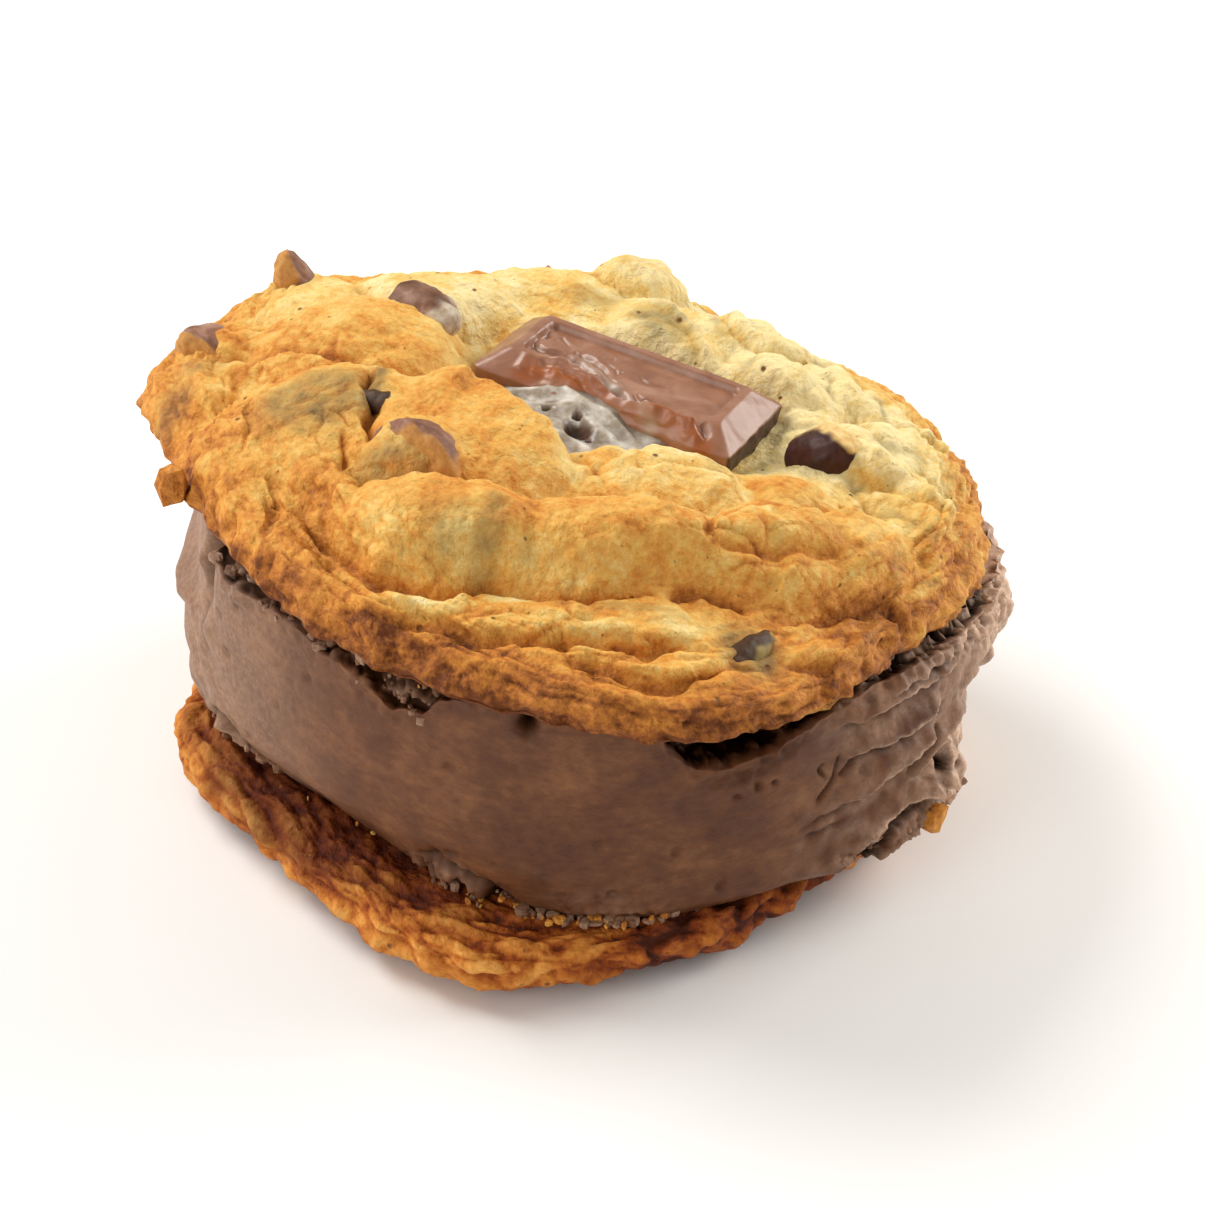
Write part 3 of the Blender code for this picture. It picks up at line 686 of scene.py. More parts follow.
lid_outline = cad_outline((cad_points("cookie_top") - heart) @ lid_axes.T)
LID_EDGE = 2.8  # how far the rim's curve reaches out, in mm
LID_RIM, LID_DOME = 5.2, 5.3  # the height where the rim turns and the dome's rise above it, in mm
# Where the edge swells out or draws in: degrees round and mm.
LID_SWELL = [
    (0, -0.3), (10, 1.2), (25, 1.8), (38, 1.3), (50, -0.2), (60, -1.7), (75, -1), (105, -0.8),
    (125, -0.4), (150, 0), (172, 0.6), (181, 0.8), (189, -1.4), (197, -2.6), (206, -0.8), (215, 0),
    (300, 0), (335, -0.6), (346, -1.5), (354, -1),
]
# Puffs of dough: x, y, half length, half width, turn in degrees, height.
PUFFS = [
    (-14, -34.8, 12.5, 7.6, 4, 4.7), (6, -33, 15.5, 5.9, 4, 4.4), (22.5, -27, 10, 6.4, 27, 4.1),
    (24, -32.8, 9, 4.4, 27, 2.8), (33, -23, 9.5, 7, 45, 3.8), (43, -12, 9, 8, 66, 3.3),
    (-30, -27.5, 9.5, 7.4, -42, 3.6), (-37, -21, 11, 8.5, -60, 4), (-46, -7, 8, 7, 75, 3.2),
    (-29, -16, 15, 11, 18, 4.2), (-11.5, -16, 13, 10.5, -46, 4.9), (-18, -22.5, 7.5, 6, 0, 5.2),
    (10, -19, 11.5, 7, -12, 2.5), (24.5, -17.5, 7, 6, 30, 2.6), (-27.5, 5.5, 15, 10.5, 12, 4.3),
    (-36, 19, 10, 9, -50, 3.4), (-19, 22.5, 12, 10, 20, 2.8), (-5.5, 30.5, 12, 10, -10, 2.7),
    (6.5, 35.6, 7.5, 6.5, 0, 5.5), (10, 21.5, 10.5, 8.5, -50, 2.8), (21.5, 22.5, 10, 8, -25, 3.6),
    (24, 12, 7, 6, -30, 3.2), (34, 16, 9, 7.5, -40, 3.4), (41, 4, 8, 7.5, -75, 3),
    (33.5, -0.5, 4.5, 4, 0, 2.6), (-44, 5, 7, 6.5, 80, 3.2), (37, -5.5, 9, 4.5, -20, 3.2),
]
# Hollows, given the same way, with their depth last: the bar's bed and the marshmallow's.
HOLLOWS = [(5.4, 3.6, 22.5, 13.0, -22.5, 2.6), (-1.0, -5.0, 10.5, 8.0, -30, 2.4)]
# Folds, where one lobe of dough has slumped over another: height, lip, width behind the lip and
# depth of the crease, then the points that the lip passes, with the raised dough on its left.
FOLDS = [
    (1.7, 2.4, 8, 1.4, [(-30, -29), (-27.4, -32.4), (-23.2, -36.5), (-20.2, -39.5), (-15.4, -42.3),
        (-11, -42.4), (-8, -40.4), (-6.3, -39.8), (0, -41.3), (4.3, -40), (8.6, -38.6), (11.8, -39.6)]),
    (1.3, 2, 6, 1, [(11, -39), (13.9, -37.1), (17.2, -36.5), (20.5, -37.6)]),
    (1.1, 1.6, 6, 0.7, [(14.5, -34), (21.3, -32.4), (23.5, -30.9), (28.6, -28.3), (31, -27)]),
    (1.5, 2.4, 6, 1, [(20.5, -37), (25, -37), (29.9, -33.5), (32.3, -31.3), (35.6, -28.6), (39.6, -29.2),
        (43, -25.5), (46.5, -17), (48, -10)]),
    (1.2, 1.8, 5, 1, [(-25, -43.6), (-21.9, -45.8), (-19, -46.5), (-12.5, -46), (-8.2, -47.4),
        (-1.4, -47), (5.9, -46), (9, -46.5), (11.6, -45), (18.5, -45.4)]),
    (0.9, 1.2, 3.5, 0.8, [(0, -49), (5.2, -49), (10.5, -51), (13.6, -49.6), (15.7, -47.8), (20.5, -45)]),
    (0.9, 1.3, 3.5, 0.7, [(23, -44), (28, -42), (32.9, -39.8), (35.2, -37.7), (37.5, -36.1), (41.4, -33),
        (44.5, -27)]),
    (0.9, 1.6, 4, 0.6, [(-47, -14), (-43.5, -22), (-39.5, -28.5), (-34.5, -34.5), (-28.5, -40),
        (-23, -43.5)]),
    (1.6, 2.2, 8, 0.5, [(-10.5, -7.2), (-13.5, -5.6), (-18, -6.6), (-21.5, -7), (-25.5, -4.8),
        (-30, -3.2), (-35.5, -1.6), (-40, -1.6), (-44, -3)]),
    (0.9, 1.8, 8, 0.5, [(35, -15.5), (31, -17.5), (28, -20.8), (24.5, -24), (20, -26.3), (14.5, -29.4),
        (10, -29.5), (3, -28.8), (-4.6, -28.3), (-10, -28.2), (-15, -29.5), (-19, -29), (-22.4, -26.4)]),
    (1.3, 2, 7, 0.3, [(5, -24), (2.6, -20.6), (-1, -15.8), (-5.5, -10.6), (-9.5, -7.4), (-13, -5.4),
        (-16.5, -2.5)]),
    (1.2, 1.8, 6, 0.3, [(21, -24), (20.6, -20), (19, -15.6), (14, -10.8), (8, -12.4), (3.6, -17),
        (2, -21)]),
    (0.6, 0.9, 4, 0.5, [(19.5, -21), (15.5, -17.6), (10.5, -17.8), (6, -20.5)]),
    (0.5, 0.8, 3, 0.4, [(0.5, -22.5), (2.5, -19.5), (5, -15.5), (8, -12.8)]),
    (0.5, 0.8, 3, 0.4, [(19.6, -17), (16.5, -14.2), (12.5, -13.8)]),
    (1, 1.5, 6, 0.3, [(-9, 15.5), (-5, 16), (2.6, 15.4), (8.9, 13.6), (15.2, 11.6), (21.4, 9.6),
        (27, 5.8)]),
    (0.9, 0.6, 1.1, 0.2, [(5.5, 25.2), (9, 23.6), (11.8, 20.6), (13.6, 16), (15.2, 11.5)]),
    (1.1, 1.4, 4, 0.5, [(31.5, -7.4), (36, -8.8), (40, -11.5), (44, -13), (47.5, -12)]),
    (1, 1.5, 5, 0.6, [(29.5, 5), (33, 7.6), (37.5, 8.6), (42, 7.6), (45.5, 4.5)]),
    (1, 1.5, 5, 0.6, [(16.5, 26), (18.4, 19.5), (22, 16.6), (27, 16.8), (30.6, 20.5)]),
    (0.5, 1.6, 5, 0.3, [(-2, 37), (0.5, 32.5), (4, 30.5), (9.5, 29.5), (14, 31)]),
    (0.9, 1.8, 6, 0.4, [(-31, 27), (-29.5, 20), (-25, 14.6), (-19, 12.4), (-12.5, 14)]),
]
# The crease under the front row of puffs, with the puffs on its left.
FRONT_CREASE = [
    (-34, -22), (-30, -29), (-27.4, -32.4), (-23.2, -36.5), (-20.2, -39.5), (-15.4, -42.3), (-11, -42.4),
    (-8, -40.4), (-6.3, -39.8), (0, -41.3), (4.3, -40), (8.6, -38.6), (13.9, -37.1), (17.2, -36.5),
    (22, -37.2), (29.9, -34), (35.6, -29.6), (41, -27.4), (45, -19), (48, -10),
]
# Cracks where the crust has pulled apart: half width, depth and the points that the crack passes.
CRACKS = [
    (0.7, 2.8, [(-26.4, -6.5), (-24.6, -9.5), (-25.2, -12.5), (-23, -15.5), (-24, -18.5), (-22.6, -21),
        (-23.6, -24)]),
    (0.35, 0.7, [(-29.5, -27.5), (-26.8, -30.4), (-26.2, -33.4), (-23.6, -36)]),
    (0.3, 0.6, [(-33.5, -25.5), (-31.4, -28.8), (-32.2, -32.2)]),
    (0.4, 0.9, [(14, -30.5), (14.9, -32.4), (14.4, -34.4)]),
    (0.35, 0.8, [(-26.4, -20.5), (-24.7, -24.2), (-26, -27)]),
    (0.35, 0.8, [(-33.4, -28), (-31.6, -31.2), (-33, -35.4), (-30, -36)]),
    (0.3, 0.6, [(-36.5, -12.5), (-38.2, -16.4), (-36.6, -20.2), (-37.6, -24.4)]),
]


def oval(x, y, centre_x, centre_y, half_long, half_wide, turned):
    """How far a point is from a turned oval's centre, 1 on the oval itself."""
    cosine, sine = math.cos(math.radians(turned)), math.sin(math.radians(turned))
    along = (x - centre_x) * cosine + (y - centre_y) * sine
    across = (y - centre_y) * cosine - (x - centre_x) * sine
    return np.hypot(along / half_long, across / half_wide)


def warped(x, y, most=1.1):
    """The same points pushed about, by up to most mm over 9 mm and 0.45 mm over 3.6 mm, so that no
    outline is a true oval or arc."""
    place = np.stack([x, y, 0 * x], -1)
    return (x + most * clouds(place, 9.0, 51) + 0.45 * clouds(place, 3.6, 52),
            y + most * clouds(place, 9.0, 53) + 0.45 * clouds(place, 3.6, 54))


def lid_top(x, y):
    """The upper skin: a dome that rises over its outer 45 %, on it the puffs, each an oval
    cap high * (1 - distance^2.6), blended as the fourth root of the sum of fourth powers, then
    the folds, less the hollows.  The front row of puffs ends at its crease."""
    share = np.hypot(x, y) / lid_outline(np.arctan2(y, x))
    seams = folded(*warped(x, y, 0.3), FOLDS, CRACKS)[0] * step_up((1 - share) / 0.03)
    x, y = warped(x, y)
    caps = [high * np.clip(1 - oval(x, y, *shape) ** 2.6, 0, None) for *shape, high in PUFFS]
    puffed = sum(cap**4 for cap in caps) ** 0.25
    at_front = step_up(1.8 * near(np.arctan2(y, x), 270, 76))
    puffed = puffed * (1 - at_front * (1 - step_up((beside(x, y, FRONT_CREASE)[0] + 0.5) / 3.6)))
    off_rim = step_up((1 - share) / 0.12)
    height = LID_RIM + LID_DOME * step_up((1 - share) / 0.45) + puffed * off_rim
    for *shape, deep in HOLLOWS:
        height = height - step_up((1.15 - oval(x, y, *shape)) / 0.35) * (deep + 0.75 * puffed)
    return height + seams


lid_reaches = np.interp(np.linspace(0, 1, 140), [0, 0.10, 0.42, 0.90, 1], [0, 0.20, 0.68, 0.95, 1])
lid = disc_skin(angle, lid_outline(angle), edge=LID_EDGE, widest=0.22, top=lid_top,
                base=lambda part: 0 * part, reaches=lid_reaches, rim_rows=20, base_rows=9)
turn, reach, inward, facing = measured(lid, angle, lid_outline)
upward = step_up((facing[..., 2] + 0.4) / 0.5)
under = step_up((-facing[..., 2] - 0.5) / 0.4)
at_rim = step_up((14 - inward) / 8) * (0.4 + 0.6 * upward)
right = step_up((lid[..., 0] + 0.4 * lid[..., 1] - 12) / 20)
behind = step_up((lid[..., 1] - 4) / 18)
left = step_up((-28 - lid[..., 0] - 0.3 * lid[..., 1]) / 16)
pebble, granule = knobs(lid, 3.4, 59), knobs(lid, 1.7, 60)
nearest, second = grains(lid * [0.8, 1.2, 1.0] + 1.4 * clouds(lid, 4.0, 65)[..., None], 4.6, 66)
net = bell((second - nearest) / 0.09) * step_up(0.35 + clouds(lid, 10.0, 67) + 0.5 * left)
down_skin = inward + lid[..., 2]
coarse, coarse_crease = wrinkles(turn, down_skin, 2.6, 4.2, 58)
fine, fine_crease = wrinkles(turn, down_skin, 1.3, 3.4, 70)
_, crease, crest = folded(*warped(lid[..., 0], lid[..., 1], 0.3), FOLDS, CRACKS)
crease, crest = crease * upward, crest * upward
lift = relief(lid, (0.30, 5.5, 55), (0.25, 2.4, 56), (0.15, 1.2, 57))
smoother = 1 - 0.55 * near(turn, 200, 50)
lift += at_rim * smoother * (0.62 * coarse + 0.26 * fine - 0.15)
lift += (0.12 + 0.65 * right) * 0.9 * (pebble - 0.5) * (1 - 0.5 * at_rim)
lift += 0.20 * (granule - 0.5) - 0.34 * net * upward
lift *= step_up((reach - 4) / 6) * (1 - 0.8 * under)
lift -= 0.35 * step_up((5 - inward) / 5)
rim_creased = at_rim * smoother * np.maximum(0.8 * coarse_crease, 0.45 * fine_crease)
creased = np.clip(np.maximum(crease, rim_creased), 0, 1)
spread = relief(lid, (0.8, 4.0, 61), (0.5, 1.7, 68)) * step_up((4 - inward) / 4)
lid = grown(lid, facing, lift, spread + swelling(turn, inward, LID_SWELL), 0.0)
# The rim has curled up from the slab at the front right.
curled = near(turn, 303, 24) * step_up((8 - inward) / 8)
lid[..., 2] += 1.8 * curled * step_up((2.5 - lid[..., 2]) / 2.5)

# Stains where a chip lies just under the crust: x, y, half length, half width, turn, strength.
STAINS = [
    (-30, -15.5, 8.5, 6.5, 15, 0.8), (-8.6, -37.2, 2.4, 4.6, -8, 0.5), (-13, -37.5, 4, 4, 0, 0.3),
    (20.6, -43.2, 4.6, 4.2, 0, 0.85), (-24, -12.5, 1.7, 6, -6, 1), (9, 20, 6, 4.5, -40, 0.75),
    (-19, -26, 7, 3.2, 0, 0.6), (-44.5, -3, 4, 4, 0, 0.5), (1, 26.5, 6, 3, 20, 0.45),
    (6, -42, 9, 1.3, 6, 0.5), (26, -8, 4, 3, 0, 0.5), (16, -14, 3, 5, 0, 0.4), (-47, -9, 3, 4, 0, 0.5),
]
# Pale patches, where the dough lay thick and hardly browned, given the same way; less than none
# is a patch that browned more. The thin ones at (2, -44.8), (-5.6, -41.6) and (-16, -44) are
# painted highlights on the crests of the front folds.
PALE = [
    (8, -17, 14, 9, -10, 0.22), (2, -44.8, 7, 1.7, 0, 0.12), (30, 4, 16, 16, 0, 0.12),
    (-22, 20, 18, 10, 20, 0.14), (13.5, -42.4, 5, 3, 8, 0.18), (3, 17.5, 14, 3, -18, 0.16),
    (-5.6, -41.6, 2.8, 1.4, 0, 0.24), (3.5, -9, 6, 5, 0, 0.12), (-16, -44, 8, 1.4, 4, 0.2),
    (0, 30, 14, 8, 0, 0.08), (36, 17.5, 6.5, 4, -50, -0.34), (31, -29, 9, 5, 20, -0.14),
    (37, -17, 9, 7, 50, -0.12), (34, -35, 9, 3, 30, -0.12), (-13, -48.5, 9, 2, 0, -0.16),
    (2, -44, 12, 2, 0, -0.06), (-40, 14, 6, 7, 0, 0.12), (22.5, -24, 5, 3, 25, -0.14),
    (29, -22, 3, 2, 25, -0.14), (-27, -30, 6, 6, 0, -0.1),
]
stain = 0 * reach
for *shape, strength in STAINS:
    stain = np.maximum(stain, strength * step_up((1.1 - oval(lid[..., 0], lid[..., 1], *shape)) / 0.7))
# Painted shade, olive grey, in the valleys between the pebbles at the right and in the creases at the back.
stain = np.maximum(stain, 0.5 * right * step_up((0.45 - pebble) / 0.4) + 0.35 * crease * behind)
stain *= upward * (0.75 + 0.5 * clouds(lid, 2.2, 69))
crater = step_up((1.45 - oval(lid[..., 0], lid[..., 1], *HOLLOWS[0][:5])) / 0.5)
front = near(turn, 272, 75)
brown = 0.43 + relief(lid, (0.10, 11.0, 62), (0.11, 4.5, 63)) + 0.10 * np.clip(lift, -0.6, 0.6)
# Paler on the crests of the folds, a painted highlight, and paler at the back.
brown -= 0.10 * crest + 0.15 * behind
brown += (0.16 + 0.20 * front) * step_up((8 - inward) / 8)
brown += (0.14 + 0.20 * front) * step_up((3.4 - lid[..., 2]) / 3.4)
# Darker in the gaps between the pebbles at the right: painted shade.
brown += 0.16 * right * (0.5 - pebble)
brown -= 0.33 * right * step_up((inward - 3) / 8) * (1 - 0.5 * front) + 0.12 * crater
for *shape, paler in PALE:
    brown = brown - paler * step_up((1.2 - oval(lid[..., 0], lid[..., 1], *shape)) / 0.7)
# Darker in the creases of the folds and the rim's wrinkles, painted shade, and browner along the net of fine
# cracks.
brown += 0.26 * creased + 0.24 * net
brown = np.clip(brown, 0.02, 1.0) + 0.2 * under
lid_finish = baked_dough(
    "baked cookie dough, upper side",
    [(0.0, "#ECD8A0"), (0.20, "#E5C478"), (0.40, "#DEAA54"), (0.58, "#D28C3A"), (0.78, "#AD6829"),
     (1.0, "#6C3816")],
    "#73613D", 0.6, 0.62)
top_cookie = closed_skin("top_cookie", from_lid(lid), lid_finish, browning=brown, stain=np.clip(stain, 0, 1))
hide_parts("cookie_top")
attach(top_cookie, "root")


# ---- Chocolate chips -------------------------------------------------------------------------
# Chocolate drops stirred into the dough before baking. They kept their round feet and blunt tips,
# and where dough rose over one it left a thin baked film on its side.

def chocolate_with_film(name, chocolate, film, roughness):
    """Couverture chocolate drops after baking: cocoa butter that melted and set again, so a satin
    brown with a grey bloom. Where the film attribute is 1 they are coated in pale baked dough."""
    made, tree, shader, place = new_finish(name)
    coated = add(tree, "Attribute", attribute_name="film", output="Fac")
    bloom = add(tree, "TexNoise", {"Vector": place, "Scale": 1 / 0.0025, "Detail": 5.0, "Roughness": 0.6})
    brown = add(tree, "ValToRGB", {"Fac": bloom}, chocolate)
    crust = add(tree, "TexNoise", {"Vector": place, "Scale": 1 / 0.0012, "Detail": 5.0, "Roughness": 0.65})
    dough = add(tree, "ValToRGB", {"Fac": crust}, film)
    mixed = add(tree, "Mix", {"Factor": coated, 6: brown, 7: dough}, **OF_COLOURS)
    duller = add(tree, "MapRange", {"Value": coated, "To Min": roughness, "To Max": 0.7})
    bump = add(tree, "Bump", {"Height": crust, "Distance": 0.15 * MM})
    feed(tree, shader, {"Base Color": mixed, "Normal": bump, "Roughness": duller, "Specular IOR Level": 0.25})
    return made


dark_drop = chocolate_with_film(
    "dark chocolate drop", [(0.3, "#2C130C"), (0.55, "#3F1E15"), (0.75, "#583326")],
    [(0.3, "#C99A52"), (0.7, "#E6CB8E")], 0.48)
milk_drop = chocolate_with_film(
    "bloomed milk chocolate drop", [(0.3, "#5E3A2A"), (0.52, "#875D48"), (0.72, "#AB8670")],
    [(0.3, "#A06A34"), (0.7, "#CC9650")], 0.48)
smeared_drop = chocolate_with_film(
    "milk chocolate drop smeared with marshmallow", [(0.3, "#55341F"), (0.55, "#7C5540"), (0.75, "#A5836C")],
    [(0.3, "#A8927A"), (0.7, "#D6CAB4")], 0.5)
buried_drop = chocolate_with_film(
    "chocolate drop showing through the crust", [(0.3, "#33200F"), (0.55, "#4A3322"), (0.75, "#665038")],
    [(0.3, "#8A7648"), (0.7, "#A8905A")], 0.5)
# Each chip's finish, slot, the side its film lies on, how much of it is bare from -1 to 1, its
# width and height as shares of the CAD chip's, and how far the dough has moved it, in mm.
CHIPS = {
    "chip_back_left_tip": (milk_drop, "milk_chocolate", (-1.0, -0.3, 0.1), 0.05, 0.80, 1.02, (-0.5, 0, -0.2)),
    "chip_left_edge": (milk_drop, "milk_chocolate", (-0.6, -0.7, -0.3), 0.35, 0.85, 0.85, (0, -0.2, -0.6)),
    "chip_behind_bar": (smeared_drop, "milk_chocolate", (0.75, -0.55, -0.25), 0.12, 1.15, 0.95, (0, 0, -0.3)),
    "chip_in_crack": (buried_drop, "dark_chocolate", (-1.0, 0.0, 0.3), 0.6, 0.5, 0.75, (-0.6, -0.2, 0.2)),
    "chip_dome": (milk_drop, "milk_chocolate", (0.30, -0.85, -0.25), 0.22, 1.2, 0.9, (1.0, -2.6, -1.8)),
    "chip_right": (dark_drop, "dark_chocolate", (0.45, 0.55, 0.70), 0.30, 1.05, 1.0, (0, 0, -0.3)),
    "chip_front_edge": (buried_drop, "dark_chocolate", (0.9, -0.3, 0.2), 0.75, 0.52, 0.95, (0.8, 0.6, 0.6)),
    "chip_far_back": (milk_drop, "milk_chocolate", (0.3, 0.9, 0.3), 0.5, 0.7, 0.35, (0, -2.0, -1.5)),
    "chip_back_right": (milk_drop, "milk_chocolate", (0.8, 0.5, 0.3), 0.4, 0.7, 0.35, (-2.2, -2.6, -2.2)),
    "chip_bottom_left": (buried_drop, "dark_chocolate", (0.0, 0.4, 0.9), 0.7, 0.55, 0.5, (0, 0, -0.2)),
    "chip_bottom_front": (buried_drop, "milk_chocolate", (0.3, 0.2, 0.9), 0.7, 0.5, 0.5, (0, 0, -0.4)),
    "chip_bottom_right": (milk_drop, "milk_chocolate", (0.2, 0.2, 0.9), 0.3, 0.9, 0.6, (-0.5, 0, -0.4)),
    "chip_bottom_back": (dark_drop, "dark_chocolate", (0.0, -0.3, 0.9), 0.3, 0.9, 0.6, (0, -0.5, -0.4)),
}


DROP_FOOT = 0.14  # the share of a drop's height that its rounded foot takes
DROP_ABOVE = 0.66  # the share of its rows that lie above the foot


def drop_grid(node, wider, taller, moved, around=64, down=44):
    """A chocolate drop on the axis from the CAD chip's middle to its tip: above the foot the reach
    grows from the tip as the sine of a quarter turn, and the height is (1 - reach^2)^0.7."""
    points = np.unique(cad_points(node).round(3), axis=0)
    middle = points.mean(0)
    tip = points[np.argmax(np.linalg.norm(points - middle, axis=1))]
    axis = (tip - middle) / np.linalg.norm(tip - middle)
    along = (points - middle) @ axis
    wide = np.linalg.norm(points - middle - along[:, None] * axis, axis=1).max()
    foot, tall = along.min(), along.max() - along.min()
    side = np.cross(axis, [0.3, 0.5, 0.8])
    side /= np.linalg.norm(side)
    share = np.linspace(0, 1, down)
    above = share < DROP_ABOVE
    quarter = np.where(above, share / DROP_ABOVE, (1 - share) / (1 - DROP_ABOVE)) * math.pi / 2
    spread = np.where(above, np.sin(quarter), np.sin(quarter) ** 0.6)
    rounded = DROP_FOOT + (1 - DROP_FOOT) * (1 - np.sin(quarter) ** 2) ** 0.7
    height = np.where(above, rounded, DROP_FOOT * (1 - np.cos(quarter)))
    around_axis = np.linspace(0, 2 * math.pi, around, endpoint=False)
    outwards = np.cos(around_axis)[:, None] * side + np.sin(around_axis)[:, None] * np.cross(axis, side)
    along_axis = foot + height * tall * taller
    sideways = wide * wider * spread[:, None, None] * outwards
    return middle + np.array(moved) + along_axis[:, None, None] * axis + sideways


for node, (finish, slot_name, film_side, bare, *shape) in CHIPS.items():
    drop = drop_grid(node, *shape)
    out = outward(drop)
    film_axis = np.array(film_side) / np.linalg.norm(film_side)
    film = step_up((out @ film_axis - bare + 0.35 * clouds(drop, 2.2, 71)) / 0.22)
    rough = 0.35 * clouds(drop, 3.0, 72) + (0.16 + 0.12 * film) * clouds(drop, 1.1, 73)
    drop = drop + out * (rough + 0.22 * film)[..., None]
    chip = closed_skin(node.replace("chip", "chocolate_drop"), drop, finish, film=film)
    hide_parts(node)
    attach(chip, "root")


# ---- Melted marshmallow ----------------------------------------------------------------------
# A marshmallow that melted in the crater under the bar: whipped sugar and gelatine, collapsed to a
# glossy, stringy pool with burst bubbles, stained brown where the chocolate ran into it.

def own_axes(node):
    """A CAD piece's middle, its axes from the longest to the shortest, and half its size on each:
    the singular vectors of its points about their mean.  The last axis points up."""
    points = np.unique(cad_points(node).round(3), axis=0)
    middle = (points.min(0) + points.max(0)) / 2
    axes = np.linalg.svd(points - points.mean(0), full_matrices=False)[2]
    axes[0] *= np.sign(axes[0][0])
    axes[2] *= np.sign(axes[2][2])
    axes[1] = np.cross(axes[2], axes[0])
    spans = (points - middle) @ axes.T
    middle = middle + (spans.min(0) + spans.max(0)) / 2 @ axes
    return middle, axes, (spans.max(0) - spans.min(0)) / 2


def marshmallow_foam(name):
    """Melted marshmallow: sugar syrup and gelatine full of small bubbles, poured smooth by the heat.
    Wet-looking, slightly see-through white, turning grey brown where chocolate is stirred in, and
    darkest in the burst bubbles, partly with painted shade."""
    made, tree, shader, place = new_finish(name)
    tint = add(tree, "Attribute", attribute_name="chocolate", output="Fac")
    froth = add(tree, "TexNoise", {"Vector": place, "Scale": 1 / 0.002, "Detail": 4.0, "Roughness": 0.6})
    white = add(tree, "ValToRGB", {"Fac": froth}, [(0.35, "#8F8370"), (0.5, "#B9AF9F"), (0.66, "#DCD7CE")])
    streaked = add(tree, "Mix", {"Factor": tint, 6: white, 7: to_linear("#553A2A")}, **OF_COLOURS)
    bump = add(tree, "Bump", {"Height": froth, "Distance": 0.10 * MM, "Strength": 1.0})
    feed(tree, shader, {"Base Color": streaked, "Normal": bump, "Roughness": 0.38, "Coat Weight": 0.15,
                        "Coat Roughness": 0.2, "Subsurface Weight": 0.15,
                        "Subsurface Radius": (1.0, 0.8, 0.6), "Subsurface Scale": 0.001})
    return made


pool_middle, pool_axes, pool_half = own_axes("marshmallow")
pool_turn = np.linspace(0, 2 * math.pi, 160, endpoint=False)[None, :]
pool_fall = np.linspace(0, math.pi, 72)[:, None]
pool = np.stack([pool_half[0] * np.sin(pool_fall) * np.cos(pool_turn),
                 pool_half[1] * np.sin(pool_fall) * np.sin(pool_turn),
                 pool_half[2] * np.cos(pool_fall) + 0 * pool_turn], -1)
out = outward(pool)
# Burst bubbles: place along and across the pool, and radius, in mm.
BUBBLES = [(2.2, -3.3, 1.5), (0.8, -1.2, 0.5), (4.4, -4.4, 0.35), (-3.0, -2.0, 0.4)]
strings = 1 - 2 * np.abs(clouds(pool * [0.35, 1.0, 1.0], 2.2, 81))
pool_lift = 0.45 * clouds(pool, 4.5, 82) + 0.55 * strings
pool_lift += 1.8 * step_up((pool[..., 1] + 2.0) / 4.0) * (pool[..., 2] > 0)
burst = np.zeros(pool.shape[:2])
for along, across, wide in BUBBLES:
    apart = np.hypot(pool[..., 0] - along, pool[..., 1] - across) / wide
    burst = np.maximum(burst, np.where(pool[..., 2] > 0, np.exp(-(apart**4)), 0))
pool_lift = pool_lift - 2.4 * burst
# Darkest in the burst bubbles: partly chocolate, partly painted shade in their pits.
chocolate = 2.5 * burst + 0.65 * step_up((pool[..., 1] + 0.8) / 4) + 0.5 * clouds(pool, 2.6, 83)
chocolate = np.clip(chocolate + 0.30 - 0.45 * step_up(2 * strings - 1), 0, 1)
pool = (pool + out * pool_lift[..., None]) @ pool_axes + pool_middle
marshmallow_finish = marshmallow_foam("melted marshmallow")
melted_marshmallow = closed_skin("melted_marshmallow", pool, marshmallow_finish, chocolate=chocolate)
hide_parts("marshmallow")
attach(melted_marshmallow, "root")


# ---- Chocolate bar piece ---------------------------------------------------------------------
# A moulded piece of milk chocolate pressed into the warm dough: a shallow tray with a raised rim
# and sloping sides. Its front edge has melted and run, and one end is a broken face.

def rounded_rectangle(half_long, half_wide, corner, columns):
    """Points round a rectangle, evenly spaced, with each pulled on to a round corner: the nearest
    point of the rectangle shrunk by the corner's radius, plus that radius outward."""
    corners = np.array([(1, -1), (1, 1), (-1, 1), (-1, -1), (1, -1)]) * [half_long, half_wide]
    gone = np.concatenate([[0], np.cumsum(np.hypot(*np.diff(corners, axis=0).T))])
    place = np.linspace(0, gone[-1], columns, endpoint=False)
    edge = np.stack([np.interp(place, gone, corners[:, 0]), np.interp(place, gone, corners[:, 1])], -1)
    core = np.clip(edge, [corner - half_long, corner - half_wide], [half_long - corner, half_wide - corner])
    away = edge - core
    return core + corner * away / np.maximum(np.linalg.norm(away, axis=1, keepdims=True), 1e-9)


